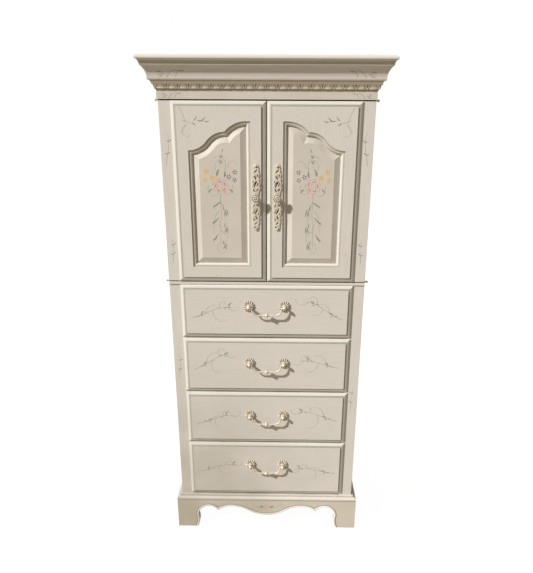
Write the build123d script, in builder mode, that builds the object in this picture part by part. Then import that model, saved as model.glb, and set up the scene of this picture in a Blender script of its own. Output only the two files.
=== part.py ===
"""Painted armoire: two arched-panel doors over four graduated drawers, on a scalloped bracket base.

Millimetres, +Z up, the front faces -Y. The origin is the centre of the footprint, on the floor.
"""

import os
from math import degrees, hypot, sqrt

from build123d import *

os.makedirs("parts", exist_ok=True)

# Case
CASE_WIDTH = 711.0
CASE_DEPTH = 457.0
SIDE_THICK = 19.0
FRAME_THICK = 18.0
STILE_WIDTH = 51.0
BACK_THICK = 6.0
BACK_RABBET = 9.0
BOARD_THICK = 18.0
EDGE_EASE = 1.2

# Base
BASE_HEIGHT = 140.0
BASE_PROUD = 19.0
APRON_THICK = 22.0
BACK_RAIL_HEIGHT = 70.0
FOOT_WIDTH = 82.0
FOOT_BELLY = 9.0
FOOT_WAIST = 6.0
FOOT_BELLY_HEIGHT = 33.0
ARCH_SPRING_HEIGHT = 62.0
ARCH_CROWN_HEIGHT = 106.0
ARCH_SPAN = 81.0
CUSP_HEIGHT = 84.0
CREST_SPAN = 54.0
DROP_HEIGHT = 62.5
BLOCK_WIDTH = 44.0
BLOCK_LIFT = 12.0
BASE_MOULDING_HEIGHT = 15.0
BASE_MOULDING_TOP_REACH = 7.5
BASE_NOSE_HEIGHT = 3.5
BASE_COVE_RADIUS = 14.0
BASE_FILLET = 5.5

# Drawers, listed from the top one down
DRAWER_LIP_HEIGHTS = (206.0, 224.0, 225.0, 246.5)
LIP_GAP = 5.5
LIP_OVERLAP = 10.0
LIP_THICK = 8.7
LIP_EDGE = 2.5
LIP_LEDGE = 17.0
FIELD_RISE = 3.3
FRONT_TENON = 10.0
FRONT_CLEAR = 1.5
LIP_CLEAR = 0.3
BOTTOM_REVEAL = 8.5
TOP_REVEAL = 11.0
WAIST_CLEAR = 1.0
DRAWER_BACK_ROOM = 41.0
DRAWER_SIDE_THICK = 12.0
DRAWER_SIDE_CLEAR = 2.5
DRAWER_TOP_CLEAR = 12.0
DRAWER_BACK_INSET = 8.0
DRAWER_BACK_DROP = 6.0
DRAWER_BOTTOM_THICK = 5.0
DRAWER_BOTTOM_LIFT = 12.0
DRAWER_GROOVE = 5.0
RUN_CLEAR = 0.3
GUIDE_WIDTH = 22.0
GUIDE_HEIGHT = 9.0
GUIDE_SETBACK = 12.0
GUIDE_CLEAR = 0.6
CLEAT_WIDTH = 12.0
RUNNER_WIDTH = 62.0
DUST_BACK_RAIL_DEPTH = 50.0
DUST_PANEL_THICK = 5.0
FIT = 0.05

# Drawer pulls
PULL_CENTRES = 131.0
PULL_RISES = (24.0, 14.5, 15.5, 26.0)
ROSETTE_RADIUS = 21.5
ROSETTE_RIM = 2.0
ROSETTE_DOME = 6.0
ROSETTE_BOSS_RADIUS = 9.0
ROSETTE_FLUTES = 14
FLUTE_RADIUS = 3.2
FLUTE_BITE = 1.4
POST_RADIUS = 4.5
POST_BALL_RADIUS = 6.5
PULL_STANDOFF = 20.0
BAIL_PIN_RADIUS = 2.4
BAIL_PIN_DEPTH = 5.0
BAIL_ARM_OFFSET = 10.2
BAIL_ARM_LEAN = 2.5
BAIL_DROP = 28.5
BAIL_SHOULDER = 4.5
BAIL_BEND = 23.0
BAIL_BEAD_RADIUS = 8.0
BAIL_COLLAR_RADIUS = 4.6
BAIL_COLLAR_LENGTH = 22.0
BOLT_RADIUS = 2.0
BOLT_HOLE_CLEAR = 0.4
BOLT_REACH = 8.0
BOLT_HEAD_RADIUS = 4.5
BOLT_HEAD_THICK = 2.5

# Doors
DOOR_HEIGHT = 613.4
POST_THICK = 20.0
DOOR_CLEAR = 2.0
MEETING_GAP = 3.0
HINGE_GAP = 4.6
DOOR_FRAME_BODY = 10.0
DOOR_STILE_WIDTH = 53.0
DOOR_BOTTOM_RAIL = 55.0
DOOR_TOP_RAIL = 63.0
ARCH_RISE_SHARE = 0.45
ARCH_STEP_SHARE = 0.16
ARCH_SWEEP_SHARE = 0.348
STICK_STEP = 3.3
STICK_LEDGE = 4.5
STICK_ROUND = 8.5
PANEL_RABBET = 6.0
PANEL_THICK = 7.0
PANEL_BEVEL = 21.0
PANEL_RISE = 8.0
PANEL_PLAY = 0.5
KNOB_RISE = 302.0
PLATE_HEIGHT = 229.0
PLATE_THICK = 3.0
PLATE_DISC_RADIUS = 13.0
PLATE_RING_RADIUS = 11.0
PLATE_RING_HOLE = 5.5
PLATE_LEAF_RADIUS = 8.0
PLATE_END_RADIUS = 7.0
PLATE_STEM_RADIUS = 3.5
KNOB_RADIUS = 15.5
KNOB_NECK_RADIUS = 6.0
KNOB_NECK_LENGTH = 13.0
KNOB_HEAD_THICK = 9.0
KNOB_FLUTES = 12

# Hinges and catches
HINGE_OFFSET = 8.0
HINGE_BALL_RADIUS = 4.5
HINGE_PIN_RADIUS = 1.5
HINGE_LEAF_LENGTH = 78.0
HINGE_LEAF_WIDTH = 13.0
HINGE_SLIT = 0.6
CATCH_WIDTH = 40.0
CATCH_HEIGHT = 12.0
CATCH_DEPTH = 40.0
CATCH_GAP = 0.5
STRIKE_THICK = 1.5
STRIKE_MARGIN = 2.0

# Cabinet shelf
SHELF_RISE = 285.0
SHELF_SIDE_CLEAR = 1.5
SHELF_SETBACK = 14.0
SHELF_PIN_RADIUS = 2.5
SHELF_PIN_LENGTH = 9.0
SHELF_PIN_REACH = 10.0
SHELF_HOLE_PITCH = 32.0
SHELF_HOLE_COUNT = 5
SHELF_HOLE_INSET = 50.0

# Cornice
FRIEZE_PROUD = 2.5
FRIEZE_THICK = 20.0
FRIEZE_HEIGHT = 27.0
CARVED_HEIGHT = 17.5
CARVED_FOOT_REACH = 2.0
CARVED_REACH = 9.5
STEP_HEIGHT = 17.5
STEP_FOOT_REACH = 13.0
STEP_REACH = 22.0
STEP_FILLET = 5.0
COVE_HEIGHT = 38.5
COVE_REACH = 40.0
COVE_FILLET = 1.2
OGEE_HEIGHT = 15.0
OGEE_REACH = 48.5
CROWN_REACH = 51.0
CAP_THICK = 13.0
CAP_NOSE_ROUND = 10.5
CAP_UNDER_ROUND = 1.5

# Places worked out from the sizes above
HALF_CASE = CASE_WIDTH / 2
HALF_INSIDE = HALF_CASE - SIDE_THICK
HALF_OPENING = HALF_CASE - STILE_WIDTH
HALF_LIP = HALF_OPENING + LIP_OVERLAP
DOOR_PROUD = POST_THICK + DOOR_CLEAR - FRAME_THICK
FRONT_REACH = DOOR_PROUD + FRIEZE_PROUD + CROWN_REACH

FACE_Y = (FRONT_REACH - CASE_DEPTH) / 2
CASE_FRONT_Y = FACE_Y + FRAME_THICK
BACK_Y = FACE_Y + CASE_DEPTH
BACK_PANEL_Y = BACK_Y - BACK_THICK
DOOR_FACE_Y = FACE_Y - DOOR_PROUD
DOOR_FIELD_Y = DOOR_FACE_Y - LIP_THICK - FIELD_RISE
DOOR_BACK_Y = DOOR_FACE_Y + DOOR_FRAME_BODY
FRIEZE_Y = DOOR_FACE_Y - FRIEZE_PROUD
HALF_FRIEZE = HALF_CASE + FRIEZE_PROUD
DRAWER_FIELD_Y = FACE_Y - LIP_CLEAR - LIP_THICK - FIELD_RISE
DRAWER_BACK_Y = FACE_Y + FRONT_TENON
DRAWER_END_Y = BACK_PANEL_Y - DRAWER_BACK_ROOM

LIP_FLOOR_Z = BASE_HEIGHT + BASE_MOULDING_HEIGHT + BOTTOM_REVEAL
RAIL_HEIGHT = 2 * LIP_OVERLAP + LIP_GAP
DRAWER_STACK = sum(DRAWER_LIP_HEIGHTS) + (len(DRAWER_LIP_HEIGHTS) - 1) * LIP_GAP
CABINET_Z = LIP_FLOOR_Z + DRAWER_STACK + TOP_REVEAL
TOP_RAIL_Z = CABINET_Z - TOP_REVEAL - LIP_OVERLAP
DOOR_Z = CABINET_Z + HINGE_GAP
DOOR_TOP_Z = DOOR_Z + DOOR_HEIGHT
CORNICE_Z = DOOR_TOP_Z + HINGE_GAP
CARVED_Z = CORNICE_Z + FRIEZE_HEIGHT
STEP_Z = CARVED_Z + CARVED_HEIGHT
COVE_Z = STEP_Z + STEP_HEIGHT
OGEE_Z = COVE_Z + COVE_HEIGHT
CAP_Z = OGEE_Z + OGEE_HEIGHT
SHELF_Z = CABINET_Z + SHELF_RISE

HINGE_X = HALF_CASE + HINGE_OFFSET
HINGE_Y = DOOR_FACE_Y + POST_THICK / 2
LEAF_THICK = (HINGE_GAP - HINGE_SLIT) / 2


def lip_range(index):
    """Bottom and top of the lip of one drawer, counted from the top."""
    top = CABINET_Z - TOP_REVEAL - sum(DRAWER_LIP_HEIGHTS[:index]) - index * LIP_GAP
    return top - DRAWER_LIP_HEIGHTS[index], top


def opening_range(index):
    """Bottom and top of the hole in the face frame behind one drawer's lip."""
    low, high = lip_range(index)
    return low + LIP_OVERLAP, high - LIP_OVERLAP


def upright(y):
    """Plane facing the front at depth y, with X across and Z up."""
    return Plane.XZ.offset(-y)


def save(name, *pieces):
    """Write one node: a single piece, or several separate ones together."""
    node = pieces[0] if len(pieces) == 1 else Compound(children=list(pieces))
    node.label = name
    export_step(node, f"parts/{name}.step")


def board(x_range, y_range, z_range):
    """Square-edged board that fills three ranges."""
    with BuildPart() as piece:
        with Locations((x_range[0], y_range[0], z_range[0])):
            Box(
                x_range[1] - x_range[0],
                y_range[1] - y_range[0],
                z_range[1] - z_range[0],
                align=(Align.MIN, Align.MIN, Align.MIN),
            )
    return piece.part


def eased(piece):
    """The same board with its long upright edges softened."""
    with BuildPart() as soft:
        add(piece)
        fillet(soft.edges().filter_by(Axis.Z), EDGE_EASE)
    return soft.part


def mirrored(piece):
    """The piece's twin on the other side of the case."""
    with BuildPart() as twin:
        mirror(piece, about=Plane.YZ)
    return twin.part


def mitred_run(section, half_width, front_y, reach):
    """Front, left and right lengths of a moulding, mitred at the two front corners.

    The section is drawn with X outward from the face it stands on and Y up.
    """
    front_plane = Plane((0, front_y, 0), x_dir=(0, -1, 0), z_dir=(-1, 0, 0))
    side_plane = Plane((-half_width, BACK_Y, 0), x_dir=(-1, 0, 0), z_dir=(0, 1, 0))
    left_mitre = Plane((-half_width, front_y, 0), x_dir=(0, 0, 1), z_dir=(1, -1, 0))
    right_mitre = Plane((half_width, front_y, 0), x_dir=(0, 0, 1), z_dir=(-1, -1, 0))
    with BuildPart() as front:
        with BuildSketch(front_plane):
            add(section)
        extrude(amount=half_width + reach, both=True)
        split(bisect_by=left_mitre, keep=Keep.TOP)
        split(bisect_by=right_mitre, keep=Keep.TOP)
    with BuildPart() as left:
        with BuildSketch(side_plane):
            add(section)
        extrude(amount=-(BACK_Y - front_y + reach))
        split(bisect_by=left_mitre, keep=Keep.BOTTOM)
    return front.part, left.part, mirrored(left.part)


# Sides, back, floor and top of the case
def shelf_hole_places():
    """Depth and height of every shelf-pin hole in one side."""
    first = SHELF_Z - (SHELF_HOLE_COUNT // 2) * SHELF_HOLE_PITCH - SHELF_PIN_RADIUS
    depths = (CASE_FRONT_Y + SHELF_HOLE_INSET, BACK_PANEL_Y - SHELF_HOLE_INSET)
    heights = [first + step * SHELF_HOLE_PITCH for step in range(SHELF_HOLE_COUNT)]
    return [(depth, height) for depth in depths for height in heights]


with BuildPart() as left_side:
    with Locations((-HALF_CASE, CASE_FRONT_Y, BASE_HEIGHT)):
        Box(
            SIDE_THICK,
            BACK_Y - CASE_FRONT_Y,
            CORNICE_Z - BASE_HEIGHT,
            align=(Align.MIN, Align.MIN, Align.MIN),
        )
    with Locations((-HALF_INSIDE, BACK_Y, BASE_HEIGHT)):
        Box(
            BACK_RABBET,
            BACK_THICK,
            CORNICE_Z - BASE_HEIGHT,
            align=(Align.MAX, Align.MAX, Align.MIN),
            mode=Mode.SUBTRACT,
        )
    with Locations(Plane.YZ.offset(-HALF_INSIDE)):
        with Locations(*shelf_hole_places()):
            Cylinder(
                SHELF_PIN_RADIUS + FIT,
                2 * SHELF_PIN_LENGTH,
                mode=Mode.SUBTRACT,
            )
save("left_side", left_side.part)
save("right_side", mirrored(left_side.part))

HALF_BACK = HALF_INSIDE + BACK_RABBET
save("back_panel", board((-HALF_BACK, HALF_BACK), (BACK_PANEL_Y, BACK_Y), (BASE_HEIGHT, CORNICE_Z)))
save(
    "cabinet_floor",
    board((-HALF_INSIDE, HALF_INSIDE), (CASE_FRONT_Y, BACK_PANEL_Y), (TOP_RAIL_Z, CABINET_Z)),
)
save(
    "top_panel",
    board((-HALF_INSIDE, HALF_INSIDE), (CASE_FRONT_Y, BACK_PANEL_Y), (CORNICE_Z - BOARD_THICK, CORNICE_Z)),
)

# Shelf on four pins
HALF_SHELF = HALF_INSIDE - SHELF_SIDE_CLEAR
save(
    "shelf",
    board(
        (-HALF_SHELF, HALF_SHELF),
        (CASE_FRONT_Y + SHELF_SETBACK, BACK_PANEL_Y - SHELF_SIDE_CLEAR),
        (SHELF_Z, SHELF_Z + BOARD_THICK),
    ),
)


def shelf_pin(side, depth):
    """Pin under one corner of the shelf, its tail in the side's hole."""
    middle = side * (HALF_INSIDE + (SHELF_PIN_LENGTH - SHELF_PIN_REACH) / 2)
    with BuildPart() as pin:
        with Locations(Plane.YZ.offset(middle)):
            with Locations((depth, SHELF_Z - SHELF_PIN_RADIUS)):
                Cylinder(SHELF_PIN_RADIUS, SHELF_PIN_LENGTH + SHELF_PIN_REACH)
    return pin.part


PIN_DEPTHS = (CASE_FRONT_Y + SHELF_HOLE_INSET, BACK_PANEL_Y - SHELF_HOLE_INSET)
save("shelf_pins", *[shelf_pin(side, depth) for side in (-1, 1) for depth in PIN_DEPTHS])

# Face frame of the drawer section
face_stile = eased(
    board((-HALF_CASE, -HALF_OPENING), (FACE_Y, CASE_FRONT_Y), (BASE_HEIGHT, CABINET_Z))
)
save("face_stile_left", face_stile)
save("face_stile_right", mirrored(face_stile))
waist_z = CABINET_Z - TOP_REVEAL + WAIST_CLEAR
waist_strip = board((-HALF_CASE, HALF_CASE), (DOOR_FACE_Y, FACE_Y), (waist_z, CABINET_Z))
with BuildPart() as top_rail:
    add(waist_strip)
    fillet(top_rail.faces().sort_by(Axis.Y)[0].edges().filter_by(Axis.X), EDGE_EASE)
    add(board((-HALF_OPENING, HALF_OPENING), (FACE_Y, CASE_FRONT_Y), (TOP_RAIL_Z, CABINET_Z)))
save("top_rail", top_rail.part)


def dust_frame(index):
    """Front rail, two runners, back rail and dust panel under one drawer."""
    top = opening_range(index)[0]
    lowest = index == len(DRAWER_LIP_HEIGHTS) - 1
    rail_foot = BASE_HEIGHT if lowest else top - RAIL_HEIGHT
    half_panel = HALF_INSIDE - RUNNER_WIDTH
    back_rail_y = BACK_PANEL_Y - DUST_BACK_RAIL_DEPTH
    frame_z = (top - BOARD_THICK, top)
    panel_foot = top - (BOARD_THICK + DUST_PANEL_THICK) / 2
    runner = board((-HALF_INSIDE, -half_panel), (CASE_FRONT_Y, BACK_PANEL_Y), frame_z)
    return (
        board((-HALF_OPENING, HALF_OPENING), (FACE_Y, CASE_FRONT_Y), (rail_foot, top)),
        runner,
        mirrored(runner),
        board((-half_panel, half_panel), (back_rail_y, BACK_PANEL_Y), frame_z),
        board(
            (-half_panel, half_panel),
            (CASE_FRONT_Y, back_rail_y),
            (panel_foot, panel_foot + DUST_PANEL_THICK),
        ),
    )


def drawer_guide(index):
    """Centre guide from the front rail to the back rail of one dust frame."""
    top = opening_range(index)[0]
    return board(
        (-GUIDE_WIDTH / 2, GUIDE_WIDTH / 2),
        (FACE_Y + GUIDE_SETBACK, BACK_PANEL_Y),
        (top, top + GUIDE_HEIGHT),
    )


DRAWERS = range(len(DRAWER_LIP_HEIGHTS))
for drawer in DRAWERS:
    save(f"dust_frame_{drawer + 1}", *dust_frame(drawer))
save("drawer_guides", *[drawer_guide(drawer) for drawer in DRAWERS])


# Bracket base
def foot_edge(foot_x):
    """Inner edge of a foot, from the floor up to where its arch springs."""
    spring = (foot_x - FOOT_WAIST, ARCH_SPRING_HEIGHT)
    ThreePointArc((foot_x, 0), (foot_x - FOOT_BELLY, FOOT_BELLY_HEIGHT), spring)
    return spring


def front_apron_face():
    """Scalloped front apron, drawn X across and Y up."""
    half = HALF_CASE + BASE_PROUD
    foot_x = half - FOOT_WIDTH
    cusp_x = foot_x - FOOT_WAIST - ARCH_SPAN
    crest_x = cusp_x - CREST_SPAN
    crown = (cusp_x + ARCH_SPAN / 2, ARCH_CROWN_HEIGHT)
    cusp = (cusp_x, CUSP_HEIGHT)
    crest = (crest_x, ARCH_CROWN_HEIGHT)
    turn = (crest_x / 2, (ARCH_CROWN_HEIGHT + DROP_HEIGHT) / 2)
    drop = (0, DROP_HEIGHT)
    with BuildSketch() as apron:
        with BuildLine():
            Line((0, BASE_HEIGHT), (half, BASE_HEIGHT))
            Line((half, BASE_HEIGHT), (half, 0))
            Line((half, 0), (foot_x, 0))
            spring = foot_edge(foot_x)
            ThreePointArc(spring, crown, cusp)
            TangentArc(crest, cusp, tangent=(1, 0))
            TangentArc(crest, turn, tangent=(-1, 0))
            TangentArc(drop, turn, tangent=(1, 0))
            Line(drop, (0, BASE_HEIGHT))
        make_face()
        mirror(about=Plane.YZ)
    return apron.sketch


def side_apron_face():
    """Side apron with a bracket foot at each end, drawn X along the depth and Y up."""
    half = (CASE_DEPTH + BASE_PROUD) / 2
    foot_x = half - FOOT_WIDTH
    crown_x = foot_x - FOOT_WAIST - (ARCH_CROWN_HEIGHT - ARCH_SPRING_HEIGHT)
    with BuildSketch() as apron:
        with BuildLine():
            Line((0, BASE_HEIGHT), (half, BASE_HEIGHT))
            Line((half, BASE_HEIGHT), (half, 0))
            Line((half, 0), (foot_x, 0))
            spring = foot_edge(foot_x)
            crown = (crown_x, ARCH_CROWN_HEIGHT)
            TangentArc(crown, spring, tangent=(1, 0))
            Line(crown, (0, ARCH_CROWN_HEIGHT))
            Line((0, ARCH_CROWN_HEIGHT), (0, BASE_HEIGHT))
        make_face()
        mirror(about=Plane.YZ)
    return apron.sketch


BASE_Y = FACE_Y - BASE_PROUD
HALF_BASE = HALF_CASE + BASE_PROUD
BASE_MITRE = Plane((-HALF_BASE, BASE_Y, 0), x_dir=(0, 0, 1), z_dir=(1, -1, 0))
BASE_MITRE_RIGHT = Plane((HALF_BASE, BASE_Y, 0), x_dir=(0, 0, 1), z_dir=(-1, -1, 0))

with BuildPart() as base_front:
    with BuildSketch(upright(BASE_Y + APRON_THICK)):
        add(front_apron_face())
    extrude(amount=APRON_THICK)
    split(bisect_by=BASE_MITRE, keep=Keep.TOP)
    split(bisect_by=BASE_MITRE_RIGHT, keep=Keep.TOP)
save("base_front", base_front.part)

SIDE_APRON_Y = (BASE_Y + BACK_Y) / 2
with BuildPart() as base_left:
    with BuildSketch(Plane((-HALF_BASE, SIDE_APRON_Y, 0), x_dir=(0, 1, 0), z_dir=(1, 0, 0))):
        add(side_apron_face())
    extrude(amount=APRON_THICK)
    split(bisect_by=BASE_MITRE, keep=Keep.BOTTOM)
save("base_left", base_left.part)
save("base_right", mirrored(base_left.part))

HALF_BASE_INSIDE = HALF_BASE - APRON_THICK
save(
    "base_back",
    board(
        (-HALF_BASE_INSIDE, HALF_BASE_INSIDE),
        (BACK_Y - APRON_THICK, BACK_Y),
        (BASE_HEIGHT - BACK_RAIL_HEIGHT, BASE_HEIGHT),
    ),
)


def corner_block(side, front):
    """Block glued inside one corner of the base, under the case."""
    x_edge = side * HALF_BASE_INSIDE
    y_edge = BASE_Y + APRON_THICK if front else BACK_Y - APRON_THICK
    x_range = sorted((x_edge, x_edge - side * BLOCK_WIDTH))
    y_range = sorted((y_edge, y_edge + (BLOCK_WIDTH if front else -BLOCK_WIDTH)))
    return board(x_range, y_range, (BLOCK_LIFT, BASE_HEIGHT))


save("corner_blocks", *[corner_block(side, front) for side in (-1, 1) for front in (True, False)])

with BuildSketch() as base_section:
    with BuildLine():
        nose_top = BASE_HEIGHT + BASE_NOSE_HEIGHT
        cove_foot = (BASE_PROUD - BASE_NOSE_HEIGHT, nose_top + BASE_NOSE_HEIGHT)
        top = BASE_HEIGHT + BASE_MOULDING_HEIGHT
        Polyline((0, top), (0, BASE_HEIGHT), (BASE_PROUD, BASE_HEIGHT), (BASE_PROUD, nose_top))
        TangentArc((BASE_PROUD, nose_top), cove_foot, tangent=(0, 1))
        RadiusArc(cove_foot, (BASE_MOULDING_TOP_REACH, top - BASE_FILLET), -BASE_COVE_RADIUS)
        Polyline(
            (BASE_MOULDING_TOP_REACH, top - BASE_FILLET),
            (BASE_MOULDING_TOP_REACH, top),
            (0, top),
        )
    make_face()
save("base_moulding", *mitred_run(base_section.sketch, HALF_CASE, FACE_Y, BASE_PROUD))

# Cornice: frieze boards, carved band, crown and cap
with BuildSketch() as frieze_section:
    with Locations((0, CORNICE_Z)):
        Rectangle(FRIEZE_THICK, CAP_Z - CORNICE_Z, align=(Align.MAX, Align.MIN))
save("frieze", *mitred_run(frieze_section.sketch, HALF_FRIEZE, FRIEZE_Y, 0))
HALF_CORNICE_INSIDE = HALF_FRIEZE - FRIEZE_THICK
save(
    "cornice_back",
    board(
        (-HALF_CORNICE_INSIDE, HALF_CORNICE_INSIDE),
        (BACK_Y - FRIEZE_THICK, BACK_Y),
        (CORNICE_Z, CAP_Z),
    ),
)

with BuildSketch() as carved_section:
    with BuildLine():
        Polyline((0, STEP_Z), (0, CARVED_Z), (CARVED_FOOT_REACH, CARVED_Z))
        TangentArc((CARVED_REACH, STEP_Z), (CARVED_FOOT_REACH, CARVED_Z), tangent=(0, -1))
        Line((CARVED_REACH, STEP_Z), (0, STEP_Z))
    make_face()
save("carved_moulding", *mitred_run(carved_section.sketch, HALF_FRIEZE, FRIEZE_Y, CARVED_REACH))

with BuildSketch() as crown_section:
    with BuildLine():
        Polyline((0, CAP_Z), (0, STEP_Z), (STEP_FOOT_REACH, STEP_Z))
        step_top = COVE_Z - STEP_FILLET
        TangentArc((STEP_REACH, step_top), (STEP_FOOT_REACH, STEP_Z), tangent=(-1, 0))
        Polyline((STEP_REACH, step_top), (STEP_REACH, COVE_Z))
        cove_top = (COVE_REACH, OGEE_Z - COVE_FILLET)
        TangentArc((STEP_REACH, COVE_Z), cove_top, tangent=(0, 1))
        Polyline(cove_top, (COVE_REACH, OGEE_Z))
        TangentArc((COVE_REACH, OGEE_Z), (OGEE_REACH, CAP_Z), tangent=(0, 1))
        Line((OGEE_REACH, CAP_Z), (0, CAP_Z))
    make_face()
save("crown_moulding", *mitred_run(crown_section.sketch, HALF_FRIEZE, FRIEZE_Y, CROWN_REACH))

with BuildPart() as cornice_cap:
    half_cap = HALF_FRIEZE + CROWN_REACH
    with Locations((0, FRIEZE_Y - CROWN_REACH, CAP_Z)):
        Box(
            2 * half_cap,
            BACK_Y - FRIEZE_Y + CROWN_REACH,
            CAP_THICK,
            align=(Align.CENTER, Align.MIN, Align.MIN),
        )
    back_edges = cornice_cap.faces().sort_by(Axis.Y)[-1].edges()
    nose = cornice_cap.faces().sort_by(Axis.Z)[-1].edges() - back_edges
    under = cornice_cap.faces().sort_by(Axis.Z)[0].edges() - back_edges
    fillet(nose, CAP_NOSE_ROUND)
    fillet(under, CAP_UNDER_ROUND)
save("cornice_cap", cornice_cap.part)


# Lipped fronts, shared by the drawers and the doors
def lip_section(span):
    """Section through a lipped slab: thin outer edges that swell in an arc up to the ledge."""
    with BuildSketch() as section:
        with BuildLine():
            Polyline((0, LIP_EDGE), (0, 0), (span, 0), (span, LIP_EDGE))
            TangentArc((LIP_LEDGE, LIP_THICK), (0, LIP_EDGE), tangent=(-1, 0))
            Line((LIP_LEDGE, LIP_THICK), (span - LIP_LEDGE, LIP_THICK))
            TangentArc((span - LIP_LEDGE, LIP_THICK), (span, LIP_EDGE), tangent=(1, 0))
        make_face()
    return section.sketch


def lipped_slab(x_range, z_range, back_y):
    """Slab with a swelled lip on its four sides, and a field that stands above the lip."""
    centre = ((x_range[0] + x_range[1]) / 2, (z_range[0] + z_range[1]) / 2)
    width = x_range[1] - x_range[0]
    height = z_range[1] - z_range[0]
    across = Plane((x_range[0], back_y, z_range[1]), x_dir=(1, 0, 0), z_dir=(0, 0, -1))
    upward = Plane((x_range[0], back_y, z_range[0]), x_dir=(0, 0, 1), z_dir=(1, 0, 0))
    with BuildPart() as slab:
        with BuildSketch(across):
            add(lip_section(width))
        extrude(amount=height)
        with BuildSketch(upward):
            add(lip_section(height))
        extrude(amount=width, mode=Mode.INTERSECT)
        with BuildSketch(upright(back_y - LIP_THICK)):
            with Locations(centre):
                Rectangle(width - 2 * LIP_LEDGE, height - 2 * LIP_LEDGE)
        extrude(amount=FIELD_RISE)
    return slab.part


# Drawers
def pull_height(index):
    """Height of the pull's pivot on one drawer."""
    low, high = lip_range(index)
    return (low + high) / 2 + PULL_RISES[index]


def drawer_front(index):
    """Lipped front, housed for the box and bored for the pull's bolts."""
    low, high = opening_range(index)
    half_tenon = HALF_OPENING - FRONT_CLEAR
    half_box = HALF_OPENING - DRAWER_SIDE_CLEAR
    with BuildPart() as front:
        add(lipped_slab((-HALF_LIP, HALF_LIP), lip_range(index), FACE_Y - LIP_CLEAR))
        with BuildSketch(upright(DRAWER_BACK_Y)):
            with Locations((0, (low + high) / 2)):
                Rectangle(2 * half_tenon, high - low - 2 * FRONT_CLEAR)
        extrude(amount=FRONT_TENON + LIP_CLEAR)
        with BuildSketch(upright(DRAWER_BACK_Y)):
            with Locations((0, low + DRAWER_BOTTOM_LIFT)):
                Rectangle(
                    2 * half_box, DRAWER_BOTTOM_THICK + 2 * FIT, align=(Align.CENTER, Align.MIN)
                )
            for side in (-1, 1):
                with Locations((side * (half_box - DRAWER_SIDE_THICK / 2), (low + high) / 2)):
                    Rectangle(DRAWER_SIDE_THICK + 2 * FIT, high - low)
        extrude(amount=DRAWER_GROOVE, mode=Mode.SUBTRACT)
        with Locations(upright(FACE_Y)):
            with Locations(*[(side * PULL_CENTRES / 2, pull_height(index)) for side in (-1, 1)]):
                Cylinder(BOLT_RADIUS + BOLT_HOLE_CLEAR, CASE_DEPTH, mode=Mode.SUBTRACT)
    return front.part


def drawer_box(index):
    """Two grooved sides, a back, a bottom and two cleats that ride the centre guide."""
    low, high = opening_range(index)
    half_box = HALF_OPENING - DRAWER_SIDE_CLEAR
    half_inside = half_box - DRAWER_SIDE_THICK
    head_y = DRAWER_BACK_Y - DRAWER_GROOVE + FIT
    foot_z = low + RUN_CLEAR
    top_z = high - DRAWER_TOP_CLEAR
    bottom_z = low + DRAWER_BOTTOM_LIFT + FIT
    floor_z = bottom_z + DRAWER_BOTTOM_THICK
    back_y = DRAWER_END_Y - DRAWER_BACK_INSET - DRAWER_SIDE_THICK
    with BuildPart() as side:
        add(board((-half_box, -half_inside), (head_y, DRAWER_END_Y), (foot_z, top_z)))
        with Locations((-half_inside, head_y, bottom_z - FIT)):
            Box(
                DRAWER_GROOVE,
                DRAWER_END_Y - head_y,
                DRAWER_BOTTOM_THICK + 2 * FIT,
                align=(Align.MAX, Align.MIN, Align.MIN),
                mode=Mode.SUBTRACT,
            )
    half_bottom = half_inside + DRAWER_GROOVE - FIT
    bottom = board((-half_bottom, half_bottom), (head_y, DRAWER_END_Y), (bottom_z, floor_z))
    back = board(
        (-half_inside, half_inside),
        (back_y, back_y + DRAWER_SIDE_THICK),
        (floor_z, top_z - DRAWER_BACK_DROP),
    )
    cleat_x = GUIDE_WIDTH / 2 + GUIDE_CLEAR
    cleat = board(
        (cleat_x, cleat_x + CLEAT_WIDTH),
        (DRAWER_BACK_Y, DRAWER_END_Y),
        (foot_z, bottom_z),
    )
    return side.part, mirrored(side.part), back, bottom, cleat, mirrored(cleat)


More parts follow.
